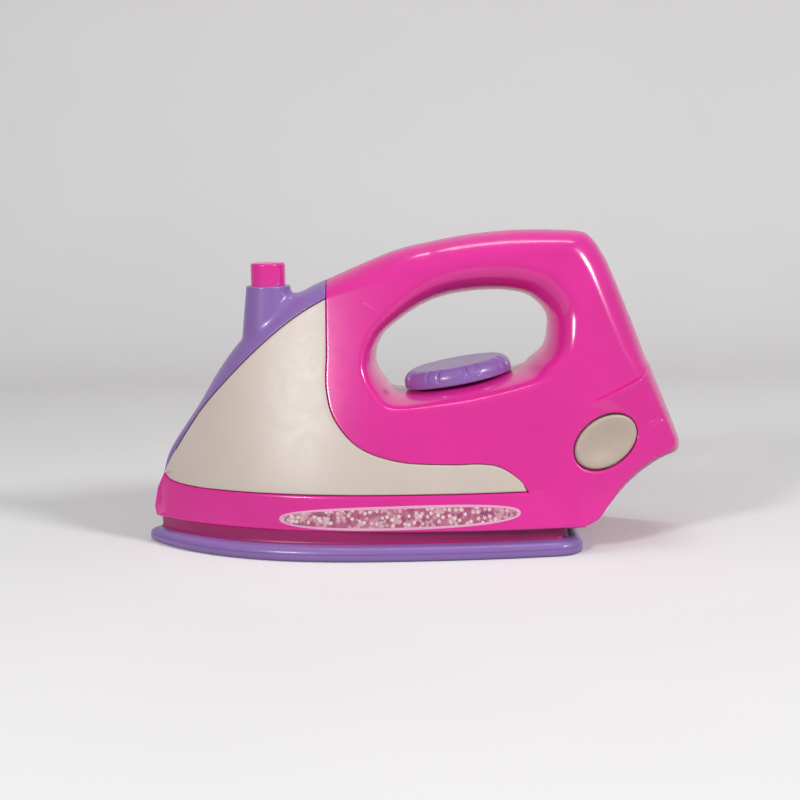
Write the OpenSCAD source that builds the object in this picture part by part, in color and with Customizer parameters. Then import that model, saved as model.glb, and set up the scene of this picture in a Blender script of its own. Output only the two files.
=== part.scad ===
/* [Side outline] */
// Length of the whole iron, nose to tail
overall_l = 211.2; // [200:0.2:225]
// Height of the top of the handle
grip_top_z = 121.2; // [116:0.2:128]
// X of the upright front edge of the handle ring
ring_front_x = -32.3; // [-38:0.1:-28]
// X of the middle of the handle opening
hub_x = 17.8; // [14:0.1:22]
// Thickness of the handle over the opening
grip_t = 23.2; // [18:0.1:28]
// Distance from the middle of the opening forward to its edge
opening_front = 31; // [26:0.1:33]
// Distance from the middle of the opening back to its edge
opening_rear = 36.4; // [30:0.1:40]
// Roll of the outer edge of the handle
edge_roll = 10; // [7:0.1:12]

/* [Skirt] */
// Height of the skirt's lower edge
skirt_low_z = 10; // [8:0.1:12]
// Height of the skirt's upper edge
skirt_top_z = 23.7; // [20:0.1:28]
// Half width of the skirt's lower edge
skirt_half_w = 44.5; // [40:0.1:50]
// Half width of the body just above the skirt
body_half_w = 41; // [36:0.1:45]
// Part of the half width lost from the skirt up to the handle
lean = 0.66; // [0.5:0.01:0.75]
// Distance from the tail forward to the end of the skirt's lower edge
skirt_from_tail = 40.6; // [36:0.1:46]

/* [Walls] */
// Wall of the pink shells
wall = 2.2; // [1.6:0.1:3]
// Thickness of the side panels
panel_t = 2; // [1.5:0.1:3]
// Thickness of the tank cover
cover_t = 2.2; // [1.6:0.1:3]
// Gap between parts that lie side by side or over each other
gap = 0.3; // [0.2:0.05:0.5]

/* [Sole] */
// Half width of the sole plate
sole_half_w = 48.4; // [44:0.1:54]
// Distance from the tail forward to the rear end of the sole plate
sole_from_tail = 41.2; // [36:0.1:48]
// Thickness of the sole plate
sole_t = 5.5; // [4:0.1:8]
// Distance from the sole's edge in to the neck
neck_inset = 7; // [5:0.1:9]
// Rounding of the sole's edge
sole_round = 1.8; // [1:0.1:2.2]

/* [Spray button] */
// X of the turret and the spray button
turret_x = -55.5; // [-60:0.1:-52]
// Height of the turret's top below the handle's front corner
turret_drop = 2.1; // [0:0.1:6]
// Diameter of the turret at its top
turret_d = 17.4; // [16.8:0.1:20]
// Widening of the turret's radius down to its foot
turret_flare = 2.4; // [1:0.1:3]
// Length of the turret
turret_l = 22.2; // [18:0.1:26]
// Diameter of the spray button
spray_d = 13.6; // [12:0.1:14]
// Height that the spray button stands out of the turret
spray_rise = 8.9; // [6:0.1:14]
// Travel of the spray button
spray_travel = 4; // [2:0.1:6]

/* [Dial] */
// Diameter of the dial
dial_d = 42.6; // [36:0.1:46]
// Height of the dial
dial_h = 6.6; // [5:0.1:9]
// Tilt of the dial towards the nose, in degrees
dial_tilt = 9.8; // [5:0.1:14]
// Height of the dial's seat below the middle of the opening
seat_z = 62.4; // [60:0.1:65]
// Diameter of the dial's shaft
shaft_d = 8; // [6:0.1:10]
// Length of the dial's shaft
shaft_l = 10; // [8:0.1:14]
// Number of pairs of grip notches around the dial
notch_pairs = 8; // [4:1:12]

/* [Side buttons] */
// Distance from the tail forward to the middle of the oval side button
oval_from_tail = 31.6; // [28:0.1:36]
// Height of the middle of the oval side button
oval_z = 40.9; // [38:0.1:44]
// Half of the oval's long axis
oval_a = 13.6; // [11:0.1:15]
// Half of the oval's short axis
oval_b = 9; // [7:0.1:10.5]
// Slope of the oval's long axis, in degrees
oval_tilt = 30; // [15:1:45]
// Travel of the side buttons
oval_travel = 2.5; // [1.5:0.1:3]

/* [Sticker] */
// Length of the sticker
sticker_l = 91.6; // [70:0.1:100]
// Height of the sticker
sticker_h = 8.8; // [6:0.1:10]
// Thickness of the sticker
sticker_t = 0.25; // [0.1:0.05:0.4]

/* [Fasteners] */
// Diameter of the screws' shanks
screw_d = 3; // [2.5:0.1:3.5]
// Diameter of the screws' heads
screw_head_d = 5.6; // [5:0.1:6.4]
// Height of the screws' heads
screw_head_h = 2.2; // [1.6:0.1:3]
// Diameter of the screw bosses
boss_d = 8.4; // [7.6:0.1:10]
// Wire of the return springs
wire_d = 0.7; // [0.5:0.05:1]
/* [Hidden] */
$fn = 48;

pink = "#e8459b";
off_white = "#ddd2c6";
lavender = "#8d72b8";
pale_grey = "#cfc4b8";
steel = "#b9bcc0";

nose_x = -overall_l / 2;
tail_x = overall_l / 2;
skirt_rear_x = tail_x - skirt_from_tail;
sole_rear_x = tail_x - sole_from_tail;
ring_top_z = grip_top_z - 17.9;
turret_top_z = ring_top_z - turret_drop;
turret_foot_z = turret_top_z - turret_l;
opening_top_z = grip_top_z - grip_t;
hub_share = 0.354;
hub_z = lerp(seat_z, opening_top_z, hub_share);
hub = [hub_x, hub_z];
opening_front_x = hub_x - opening_front;
opening_rear_x = hub_x + opening_rear;
seat_gap = 0.55;
recess = max(panel_t, cover_t) + seat_gap;
cover_inset = cover_t + seat_gap;
thin_share = 0.12;

// Curves

function lerp(a, b, u) = a + (b - a) * u;
function bend(a, b, c, d, u) =
    0.5 * (2 * b + (c - a) * u + (2 * a - 5 * b + 4 * c - d) * u * u + (3 * b - a - 3 * c + d) * u * u * u);
function smooth_open(pts, steps) =
    let (n = len(pts))
    [for (i = [0 : n - 2], k = [0 : steps - 1])
        bend(pts[max(0, i - 1)], pts[i], pts[i + 1], pts[min(n - 1, i + 2)], k / steps), pts[n - 1]];
function smooth_loop(pts, steps) =
    let (n = len(pts))
    [for (i = [0 : n - 1], k = [0 : steps - 1])
        bend(pts[(i + n - 1) % n], pts[i], pts[(i + 1) % n], pts[(i + 2) % n], k / steps)];

// Side view curves, as points (x, z)

front_foot_z = skirt_top_z + 3.3;
function front_z(u) = lerp(front_foot_z, ring_top_z, u);
ridge_pts = [[nose_x + 6.1, front_foot_z], [nose_x + 9.7, front_z(0.135)], [nose_x + 21.5, front_z(0.367)],
    [nose_x + 29.9, front_z(0.544)], [nose_x + 39, front_z(0.697)], [ring_front_x - 23.7, front_z(0.823)],
    [ring_front_x - 12.7, front_z(0.9174)], [ring_front_x - 5.7, front_z(0.967)]];
function rear_x(u) = lerp(hub_x, tail_x, u);
crest_flat_x = rear_x(0.2528);
heel = [tail_x - 2.6, 44.9];
grip_rear = [rear_x(0.6993), grip_top_z - 16.1];
grip_pts = [[ring_front_x, ring_top_z], [hub_x - 25.1, grip_top_z - 7.7], [hub_x - 9.3, grip_top_z - 3.9],
    [hub_x + 6.4, grip_top_z - 1.3], [crest_flat_x, grip_top_z], [rear_x(0.4317), grip_top_z - 0.1],
    [rear_x(0.565), grip_top_z - 1], [rear_x(0.6116), grip_top_z - 3.4], [rear_x(0.655), grip_top_z - 8.5],
    grip_rear, [rear_x(0.7893), lerp(grip_rear.y, heel.y, 0.323)],
    [rear_x(0.8793), lerp(grip_rear.y, heel.y, 0.67)]];
tail_pts = [heel, [tail_x, heel.y - 7.4], [tail_x - 1, heel.y - 11.1], [tail_x - 5.1, heel.y - 12.7],
    [tail_x - 10.6, heel.y - 15.3], [tail_x - 21.6, 22.5], [skirt_rear_x + 10.5, skirt_low_z + 5.5],
    [skirt_rear_x + 6, skirt_low_z + 1.7], [skirt_rear_x, skirt_low_z]];
nose_pts = [[nose_x + 2.6, skirt_low_z], [nose_x + 2, skirt_low_z + 3.9], [nose_x + 3.5, skirt_top_z - 2.4]];
seat_slope = tan(dial_tilt);
function seat_at(x) = seat_z + seat_slope * (x - hub_x);
dial_shift = 1.2;
dial_x = hub_x + dial_shift;
seat_reach = dial_d / 2 + 1;
function open_z(u) = lerp(seat_z, opening_top_z, u);
opening_pts = [[opening_front_x, hub_z], [opening_front_x + 1.2, open_z(0.461)],
    [opening_front_x + 5.3, open_z(0.612)], [hub_x - 13.7, open_z(0.84)], [hub_x - 1.8, open_z(0.958)],
    [hub_x + 14, opening_top_z], [hub_x + 25.9, open_z(0.9635)], [opening_rear_x - 4.6, open_z(0.871)],
    [opening_rear_x - 0.7, open_z(0.736)], [opening_rear_x, open_z(0.59)],
    [opening_rear_x - 1.6, open_z(0.368)], [opening_rear_x - 6.8, open_z(0.2247)],
    [dial_x + seat_reach, seat_at(dial_x + seat_reach)], [hub_x, seat_z],
    [dial_x - seat_reach, seat_at(dial_x - seat_reach)], [opening_front_x + 2.9, open_z(0.042)],
    [opening_front_x - 0.1, open_z(0.2135)]];
function panel_x(u) = lerp(ring_front_x, skirt_rear_x, u);
panel_rear_pts = [[ring_front_x, ring_top_z + 2], [ring_front_x, front_z(0.826)],
    [ring_front_x, front_z(0.642)], [ring_front_x - 0.2, front_z(0.472)], [ring_front_x + 2.9, front_z(0.324)],
    [panel_x(0.1264), front_z(0.19)], [panel_x(0.2806), front_z(0.122)], [panel_x(0.4758), front_z(0.105)],
    [panel_x(0.5889), front_z(0.105)], [panel_x(0.6711), front_z(0.085)], [panel_x(0.7461), front_z(0.02)],
    [panel_x(0.78), skirt_top_z]];
panel_top_pts = [[ring_front_x + 10.3, front_z(0.9515)], [ring_front_x, front_z(0.912)],
    [ring_front_x - 14.1, front_z(0.8034)], [nose_x + 43.1, front_z(0.6265)],
    [nose_x + 26.5, front_z(0.4024)], [nose_x + 17.9, front_z(0.253)], [nose_x + 10, front_z(0.0917)],
    [nose_x + 6.4, skirt_top_z + 3]];

curve_steps = 6;
crest = smooth_open(concat(ridge_pts, grip_pts), curve_steps);
outline = concat(smooth_open(concat(ridge_pts, grip_pts, tail_pts), curve_steps), nose_pts);
opening = smooth_loop(opening_pts, curve_steps);
panel_rear = smooth_open(panel_rear_pts, curve_steps);
panel_top = smooth_open(panel_top_pts, curve_steps);

// Half width of the body at a point of the side view

plan_power = 2.6;
plan_round = 0.85;
tail_draw = 0.00233;
lean_power = 1.15;
skirt_nose_x = nose_x + 2;
body_nose_x = nose_x + 5;
skirt_wide_x = 20;
body_wide_x = 10;

function plan(x, nose, wide_x, half, power = plan_power, draw = tail_draw) =
    let (u = min(1, max(0, (wide_x - x) / (wide_x - nose))))
    half * pow(1 - pow(u, power), plan_round) - draw * pow(max(0, x - wide_x), 2);
function crest_at(x) = x > crest_flat_x ? grip_top_z : lookup(x, crest);
function half_w(p) =
    let (body = plan(p.x, body_nose_x, body_wide_x, body_half_w),
         skirt = plan(p.x, skirt_nose_x, skirt_wide_x, skirt_half_w),
         v = min(1, max(0, (p.y - skirt_top_z) / (crest_at(p.x) - skirt_top_z))))
    p.y < skirt_top_z
        ? lerp(body, skirt, (skirt_top_z - p.y) / (skirt_top_z - skirt_low_z))
        : body * (1 - lean * pow(v, lean_power));

// Polar view around the middle of the handle opening

function along(phi, r) = hub + r * [cos(phi), sin(phi)];
function turn_of(p) = let (a = atan2(p.y - hub.y, p.x - hub.x)) a < first_turn ? a + 360 : a;
function hits(curve, phi, closed, from = hub) =
    let (d = [cos(phi), sin(phi)], n = len(curve))
    [for (i = [0 : n - (closed ? 1 : 2)])
        let (p = curve[i] - from, q = curve[(i + 1) % n] - from,
             a = p.x * d.y - p.y * d.x, b = q.x * d.y - q.y * d.x)
        if (a * b <= 0 && a != b)
        let (r = (p + (q - p) * a / (a - b)) * d)
        if (r > 0) r];
function reach(curve, phi, closed = true) = max(hits(curve, phi, closed));

first_turn = atan2(ring_top_z - hub_z, ring_front_x - hub_x);
nose_turn = turn_of(ridge_pts[0]);
skirt_turn = turn_of(nose_pts[0]);
tip_turn = turn_of(panel_rear_pts[len(panel_rear_pts) - 1]);
rear_turn = turn_of([skirt_rear_x, skirt_low_z]);
last_turn = first_turn + 360;
corner_turn = turn_of([ring_front_x, panel_top_pts[1].y]);

// Width of the inner roll of the ring, every 45 degrees from the rear round over the top
opening_roll = [11.4, 15, 12.3, 8.8, 2.4, 2.2, 5, 5];
function inner_roll(phi) =
    let (u = (phi % 360) / 45, i = floor(u), n = len(opening_roll))
    max(1.5, bend(opening_roll[(i + n - 1) % n], opening_roll[i % n], opening_roll[(i + 1) % n],
        opening_roll[(i + 2) % n], u - i));
heel_roll = 0.6;
tail_roll = 6;
function outer_roll(phi) =
    lookup(phi, [[rear_turn, heel_roll], [rear_turn + 20, tail_roll], [rear_turn + 30, tail_roll],
        [rear_turn + 55, edge_roll]]);
function in_front(phi) = phi > first_turn && phi < tip_turn;
function has_skirt(phi) = phi > nose_turn && phi < rear_turn;
function is_open(phi) = phi > skirt_turn && phi < rear_turn;
function shoulder(phi, r_in, r_out) =
    in_front(phi) ? min(r_out - 1, reach(panel_top, phi, false)) : max(r_in + 0.8, r_out - outer_roll(phi));
function closing(r, r_shoulder, r_out) =
    r <= r_shoulder ? 1 : sqrt(max(0, 1 - pow((r - r_shoulder) / (r_out - r_shoulder), 2)));
function skin_y(phi, r, depth) =
    let (w = half_w(along(phi, r))) -max(w - depth, thin_share * w);

// Skins: closed solids between an outer and an inner grid of points, grid[column][row]

function tri(a, b, c, d) = [[a, b, c], [a, c, d]];
function skin_faces(n, m, ring) =
    let (cols = ring ? n : n - 1, back = n * m)
    [for (i = [0 : cols - 1]) let (e = i * m, f = ((i + 1) % n) * m) each concat(
        [for (j = [0 : m - 2]) each tri(e + j, f + j, f + j + 1, e + j + 1)],
        [for (j = [0 : m - 2]) each tri(back + e + j + 1, back + f + j + 1, back + f + j, back + e + j)],
        tri(f, e, back + e, back + f),
        tri(e + m - 1, f + m - 1, back + f + m - 1, back + e + m - 1)),
     if (!ring) each concat(
        [for (j = [0 : m - 2]) each tri(j, j + 1, back + j + 1, back + j)],
        [for (j = [0 : m - 2]) let (z = (n - 1) * m)
            each tri(z + j + 1, z + j, back + z + j, back + z + j + 1)])];
module skin(outer, inner, ring) {
    polyhedron(points = concat([for (c = outer, p = c) p], [for (c = inner, p = c) p]),
        faces = skin_faces(len(outer), len(outer[0]), ring));
}

// Columns of the shells: from the opening's edge over its roll and the face to the outline

turn_gap = 0.12;
corner_trim = 0.6;
front_turn = first_turn + corner_trim;
function spread(a, b, n, power = 1) =
    [for (i = [0 : n - 1]) lerp(a + turn_gap, b - turn_gap, pow(i / (n - 1), power))];
function ledge_at(phi, full) = min(full - 1.2, (skirt_top_z - hub_z) / sin(phi));
face_rows = 4;
edge_rows = 4;
// Rows as [radius, depth under the outer surface, share of the half width]
function shell_rows(phi, t, front, skirted, full) =
    let (hole = reach(opening, phi),
         edge = hole + t,
         rolled = max(edge + 1, hole + inner_roll(phi) + 0.3 * t),
         out = skirted ? full : full - t - (front && t > 0 ? cover_inset : 0),
         sh = skirted ? max(rolled + 1, ledge_at(phi, full)) : shoulder(phi, rolled, out),
         step = front && t > 0
             ? min(out - 2.4 * wall, max(rolled + 0.3, reach(panel_rear, phi, false) - 2.5 * t)) : 0,
         deep = t + (front && t > 0 ? recess : 0),
         bow = max(sh, step + 2 * wall))
    concat(
        [for (a = [0 : 30 : 90]) [edge + (rolled - edge) * (1 - cos(a)), t, sin(a)]],
        step > 0
            ? [[lerp(rolled, step, 0.5), t, 1], [step, t, 1], [step + 1.5 * wall, deep, 1], [bow, deep, 1]]
            : [for (k = [1 : face_rows]) [lerp(rolled, sh, k / face_rows), t, 1]],
        [for (k = [1 : edge_rows]) let (a = 90 * k / edge_rows)
            [skirted ? lerp(bow, out, k / edge_rows) : bow + (out - bow) * sin(a), skirted ? t : deep,
             k == edge_rows && !is_open(phi) ? 0
                 : (skirted ? 1 : closing(bow + (out - bow) * sin(a), sh, out))]]);
function shell_column(phi, t) =
    let (front = phi > front_turn && phi < tip_turn, skirted = has_skirt(phi))
    [for (row = shell_rows(phi, t, front, skirted, reach(outline, phi)))
        let (p = along(phi, row[0])) [p.x, skin_y(phi, row[0], row[1]) * row[2], p.y]];

rear_marks = concat([for (i = [len(tail_pts) - 1 : -1 : 0]) turn_of(tail_pts[i])],
    [for (i = [len(grip_pts) - 1 : -1 : 1]) turn_of(grip_pts[i])], [last_turn]);
wide_step = 4;
rear_turns = [for (i = [0 : len(rear_marks) - 2]) let (a = rear_marks[i], b = rear_marks[i + 1])
    each (b - a > wide_step ? [a + (i == 0 ? turn_gap : 0), (a + b) / 2] : [a + (i == 0 ? turn_gap : 0)])];
shell_turns = concat(spread(first_turn, nose_turn, 12), spread(nose_turn, skirt_turn, 3),
    spread(skirt_turn, tip_turn, 18, 1.4), spread(tip_turn, rear_turn, 3), rear_turns);
module shell_skin() {
    skin([for (phi = shell_turns) shell_column(phi, 0)], [for (phi = shell_turns) shell_column(phi, wall)],
        true);
}

// Pockets in the shell: under the panel and tank cover down to the ridge, and under the panel's foot

pocket_clear = 6;
pocket_cross = 2;
function front_pocket_column(phi, floor) =
    let (full = reach(outline, phi),
         near = reach(panel_rear, phi, false),
         out = max(near + 0.4, full - cover_inset),
         sh = shoulder(phi, near, full))
    [for (u = [0, 0.15, 0.3, 0.45, 0.6, 0.72, 0.83, 0.91, 0.97, 1, 2])
        let (r = u > 1 ? full + pocket_clear : lerp(near, out, u), p = along(phi, r))
        [p.x, !floor ? skin_y(phi, min(r, near), 0) - pocket_clear
            : (u >= 1 ? (u > 1 ? pocket_cross : 0)
                : skin_y(phi, r, recess) * closing(r, min(sh, out - 0.3), out)),
         p.y]];
function low_pocket_column(phi, depth) =
    let (near = reach(panel_rear, phi, false),
         far_r = max(near + 0.4, ledge_at(phi, reach(outline, phi))))
    [for (u = [0 : 0.25 : 1]) let (r = lerp(near, far_r, u), p = along(phi, r))
        [p.x, skin_y(phi, r, depth), p.y]];
front_pocket_turns = spread(front_turn, nose_turn, 24);
low_pocket_turns = concat(spread(nose_turn - 0.5, skirt_turn, 4), spread(skirt_turn, tip_turn, 22, 1.4));
module pockets() {
    skin([for (phi = front_pocket_turns) front_pocket_column(phi, false)],
        [for (phi = front_pocket_turns) front_pocket_column(phi, true)], false);
    skin([for (phi = low_pocket_turns) low_pocket_column(phi, -pocket_clear)],
        [for (phi = low_pocket_turns) low_pocket_column(phi, recess)], false);
}

// Columns of the side panels and the tank cover

panel_turns = concat(spread(corner_turn + 0.6, nose_turn, 20), spread(nose_turn, skirt_turn, 4),
    spread(skirt_turn, tip_turn - 0.4, 22, 1.4));
panel_edge_drop = 0.5;
function panel_column(phi, depth) =
    let (full = reach(outline, phi),
         far_r = phi < nose_turn ? reach(panel_top, phi, false) : ledge_at(phi, full),
         near = reach(panel_rear, phi, false) + gap,
         end = max(near + 0.5, far_r - gap))
    [for (u = [0, 0.08, 0.3, 0.5, 0.7, 0.92, 1])
        let (r = lerp(near, end, u), p = along(phi, r), drop = u == 0 || u == 1 ? panel_edge_drop : 0)
        [p.x, skin_y(phi, r, depth > 0 ? depth : drop), p.y]];
cover_turns = spread(front_turn + 0.9, nose_turn - 0.5, 24);
function cover_column(phi, depth) =
    let (full = reach(outline, phi),
         low = reach(panel_top, phi, false),
         edge = min(full - 0.6, max(low, reach(panel_rear, phi, false)) + gap),
         top = max(edge + 0.3, full - depth),
         side = [for (a = [0 : 22.5 : 90])
             let (r = edge + (top - edge) * sin(a), p = along(phi, r))
             [p.x, a == 90 ? 0 : skin_y(phi, r, depth) * closing(r, min(low, edge), top), p.y]],
         n = len(side))
    concat(side, [for (k = [n - 2 : -1 : 0]) [side[k].x, -side[k].y, side[k].z]]);

// Surface of the left half at a side view point, sunk by depth

function side_y(p, depth) =
    let (phi = turn_of(p), r = norm(p - hub), full = reach(outline, phi),
         rolled = reach(opening, phi) + inner_roll(phi),
         shut = has_skirt(phi) ? 1 : closing(r, shoulder(phi, rolled, full), full - depth))
    skin_y(phi, r, depth) * shut;

// Screws

far = 300;
screw_fit = 0.04;
shell_screw_l = 14;
shell_seat_y = 5;
tab_t = 2;
screw_pts = [[nose_x + 33.6, front_z(0.223)], [ring_front_x - 6.2, front_z(0.747)],
    [hub_x + 4.2, seat_z - 20.4], [rear_x(0.555), grip_top_z - 13.7], [skirt_rear_x - 7, skirt_top_z + 0.8],
    [tail_x - 22.6, lerp(heel.y, grip_rear.y, 0.317)]];
cover_screws = 2;
carrier_t = 6;
carrier_screws = [4, 5];
head_clear = 0.8;
shank_clear = 0.3;
// Half of what lies between the two bosses at a screw
function boss_start(k) =
    k < cover_screws ? tab_t / 2 + 0.05 : (k >= carrier_screws[0] ? carrier_t / 2 + 0.05 : 0);
function boss_end(k) =
    max([for (a = [0 : 45 : 315]) side_y(screw_pts[k] + boss_d / 2 * [cos(a), sin(a)],
        (k < cover_screws ? recess : 0) + wall / 2)]);
module at_side(p) { translate([p.x, 0, p.y]) children(); }
module boss(k) {
    at_side(screw_pts[k]) translate([0, -boss_start(k), 0]) rotate([90, 0, 0])
        cylinder(d = boss_d, h = -boss_end(k) - boss_start(k));
}
module shell_screw(p) {
    at_side(p) translate([0, shell_seat_y, 0]) {
        rotate([-90, 0, 0]) cylinder(d = screw_head_d, h = screw_head_h);
        rotate([90, 0, 0]) cylinder(d = screw_d, h = shell_screw_l);
    }
}
module pilot_bore(p) {
    at_side(p) rotate([90, 0, 0]) cylinder(d = screw_d + screw_fit, h = shell_screw_l - shell_seat_y + 1);
}
module head_bore(p) {
    at_side(p) rotate([90, 0, 0]) {
        cylinder(d = screw_d + shank_clear, h = shell_seat_y + 1);
        translate([0, 0, shell_seat_y]) cylinder(d = screw_head_d + head_clear, h = far);
    }
}

// Sole screws stand in posts that ribs tie to the shell's wall

post_pts = [[nose_x + 43.6, -17], [sole_rear_x - 18.4, -27]];
post_top_z = 29;
rib_t = 2.4;
sole_screw_l = 20;
sole_head_z = 0.8;
lip_h = 3.4;
base_top_z = skirt_low_z + lip_h;
module post(p) {
    wall_y = half_w([p.x, skirt_top_z]) - wall / 2;
    translate([p.x, p.y, base_top_z]) cylinder(d = boss_d, h = post_top_z - base_top_z);
    translate([p.x - rib_t / 2, -wall_y, base_top_z + 1])
        cube([rib_t, wall_y + p.y, skirt_top_z - base_top_z - 2]);
}
module sole_screw(p) {
    translate([p.x, p.y, sole_head_z]) {
        cylinder(d = screw_head_d, h = screw_head_h);
        cylinder(d = screw_d, h = sole_screw_l);
    }
}

// Dial seat: a round pad and a boss with the shaft's bore, split at the parting plane

shaft_clear = 0.16;
pad_d = dial_d - 4;
pad_h = 5;
dial_boss_d = shaft_d + 9;
dial_boss_h = shaft_l - gap;
module dial_frame() { translate([dial_x, 0, seat_at(dial_x)]) rotate([0, -dial_tilt, 0]) children(); }
module left_of_middle() {
    intersection() {
        children();
        translate([-far, -far, -far]) cube([2 * far, far, 2 * far]);
    }
}
module dial_seat() {
    left_of_middle() dial_frame() {
        translate([0, 0, -pad_h]) cylinder(d = pad_d, h = pad_h);
        translate([0, 0, -dial_boss_h]) cylinder(d = dial_boss_d, h = dial_boss_h);
    }
}
module shaft_bore() {
    dial_frame() translate([0, 0, -far / 10]) cylinder(d = shaft_d + shaft_clear, h = far / 5);
}

// Frame of the oval side button: w points out of the surface, u runs along the oval

function unit(v) = v / norm(v);
oval_x = tail_x - oval_from_tail;
probe = 0.5;
oval_p = [oval_x, side_y([oval_x, oval_z], 0), oval_z];
oval_w = unit([(side_y([oval_x + probe, oval_z], 0) - side_y([oval_x - probe, oval_z], 0)) / (2 * probe), -1,
    (side_y([oval_x, oval_z + probe], 0) - side_y([oval_x, oval_z - probe], 0)) / (2 * probe)]);
oval_lie = [cos(oval_tilt), 0, sin(oval_tilt)];
oval_u = unit(oval_lie - (oval_lie * oval_w) * oval_w);
oval_v = cross(oval_w, oval_u);
module oval_frame() {
    multmatrix([[oval_u.x, oval_v.x, oval_w.x, oval_p.x], [oval_u.y, oval_v.y, oval_w.y, oval_p.y],
        [oval_u.z, oval_v.z, oval_w.z, oval_p.z], [0, 0, 0, 1]]) children();
}
oval_sides = 40;
module oval(grow, h) {
    linear_extrude(height = h)
        polygon([for (k = [0 : oval_sides - 1]) let (a = 360 * k / oval_sides)
            [(oval_a + grow) * cos(a), (oval_b + grow) * sin(a)]]);
}
oval_gap = 0.5;
oval_proud = 1;

// Half shells

turret_foot_r = turret_d / 2 + turret_flare;
module turret_room() {
    translate([turret_x, 0, turret_foot_z - 3]) cylinder(r = turret_foot_r + gap, h = far / 5);
}
module tab_room() {
    for (k = [0 : cover_screws - 1]) at_side(screw_pts[k])
        rotate([0, tab_lean(k), 0]) translate([-tab_w / 2 - gap, -tab_t / 2 - 0.05, -tab_w / 2 - gap])
            cube([tab_w + 2 * gap, tab_t + 0.1, tab_end(k) + tab_w]);
}
module half_shell_body() {
    difference() {
        union() {
            difference() {
                shell_skin();
                pockets();
            }
            for (k = [0 : len(screw_pts) - 1]) boss(k);
            for (p = post_pts) post(p);
            dial_seat();
        }
        shaft_bore();
        turret_room();
        tab_room();
        oval_frame() translate([0, 0, -2 * wall]) oval(oval_gap, 4 * wall);
        for (p = post_pts) sole_bore(p);
        for (p = peg_pts) peg_bore(p);
    }
}
module sole_bore(p) {
    translate([p.x, p.y, 0]) cylinder(d = screw_d + screw_fit, h = sole_head_z + sole_screw_l + 1);
}
module left_shell() {
    color(pink) difference() {
        half_shell_body();
        for (p = screw_pts) pilot_bore(p);
    }
}
module right_shell() {
    color(pink) mirror([0, 1, 0]) difference() {
        half_shell_body();
        for (p = screw_pts) head_bore(p);
    }
}

// Side panels, held by pegs in the recessed wall behind them

peg_pts = [[nose_x + 47.6, skirt_top_z + 10.3], [ring_front_x - 11.7, front_z(0.511)],
    [ring_front_x + 42.3, skirt_top_z + 5.8]];
peg_d = 3;
peg_l = 6;
peg_clear = 0.1;
module peg_bore(p) {
    at_side(p) rotate([90, 0, 0]) cylinder(d = peg_d + peg_clear, h = far);
}
module side_panel() {
    skin([for (phi = panel_turns) panel_column(phi, 0)],
        [for (phi = panel_turns) panel_column(phi, panel_t)], false);
    for (p = peg_pts) at_side(p) translate([0, side_y(p, panel_t / 2), 0])
        rotate([-90, 0, 0]) cylinder(d = peg_d, h = peg_l);
}
module left_side_panel() { color(off_white) side_panel(); }
module right_side_panel() { color(off_white) mirror([0, 1, 0]) side_panel(); }

// Tank cover with the turret and two eyed tabs that the front screws hold

tab_w = 9;
tab_turns = [135, 90];
function tab_lean(k) = 90 - tab_turns[k];
function tab_end(k) = min(hits(outline, tab_turns[k], true, screw_pts[k])) - cover_t / 2;
plug_h = 3;
spray_lip = 1.6;
spray_clear = 0.16;
flange_d = spray_d + 1.5;
flange_clear = 0.3;
module tab(k) {
    at_side(screw_pts[k]) rotate([0, tab_lean(k), 0])
        translate([-tab_w / 2, -tab_t / 2, -tab_w / 2]) cube([tab_w, tab_t, tab_end(k) + tab_w / 2]);
}
module tank_cover() {
    color(lavender) difference() {
        union() {
            skin([for (phi = cover_turns) cover_column(phi, 0)],
                [for (phi = cover_turns) cover_column(phi, cover_t)], false);
            translate([turret_x, 0, turret_foot_z])
                cylinder(r1 = turret_foot_r, r2 = turret_d / 2, h = turret_top_z - turret_foot_z);
            for (k = [0 : cover_screws - 1]) tab(k);
        }
        for (k = [0 : cover_screws - 1]) at_side(screw_pts[k]) translate([0, tab_t, 0])
            rotate([90, 0, 0]) cylinder(d = screw_d + shank_clear, h = 2 * tab_t);
        translate([turret_x, 0, turret_foot_z - 1])
            cylinder(d = flange_d + flange_clear, h = turret_top_z - spray_lip - turret_foot_z + 1);
        translate([turret_x, 0, turret_foot_z])
            cylinder(d = spray_d + spray_clear, h = turret_top_z - turret_foot_z + 1);
    }
}

// Spray button, its spring and the plug that the spring stands on

flange_h = 1.6;
spray_hollow_d = 9;
spray_roof = 2.4;
flange_top_z = turret_top_z - spray_lip - 0.1;
spray_floor_z = turret_top_z + spray_rise - spray_roof;
module spray_button() {
    color(pink) difference() {
        union() {
            translate([turret_x, 0, flange_top_z - flange_h]) {
                cylinder(d = flange_d, h = flange_h);
                cylinder(d = spray_d, h = turret_top_z + spray_rise - flange_top_z + flange_h);
            }
        }
        translate([turret_x, 0, flange_top_z - flange_h - 1])
            cylinder(d = spray_hollow_d, h = spray_floor_z - flange_top_z + flange_h + 1);
    }
}
plug_pin_d = 5;
plug_pin_clear = 2.9;
plug_pin_h = flange_top_z - flange_h - spray_travel - plug_pin_clear - turret_foot_z - plug_h;
module spray_retainer() {
    color(lavender) translate([turret_x, 0, turret_foot_z]) {
        cylinder(d = flange_d + flange_clear, h = plug_h);
        cylinder(d = plug_pin_d, h = plug_h + plug_pin_h);
    }
}

// Coil spring along z from 0 to h, one tube with straight ends

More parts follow.
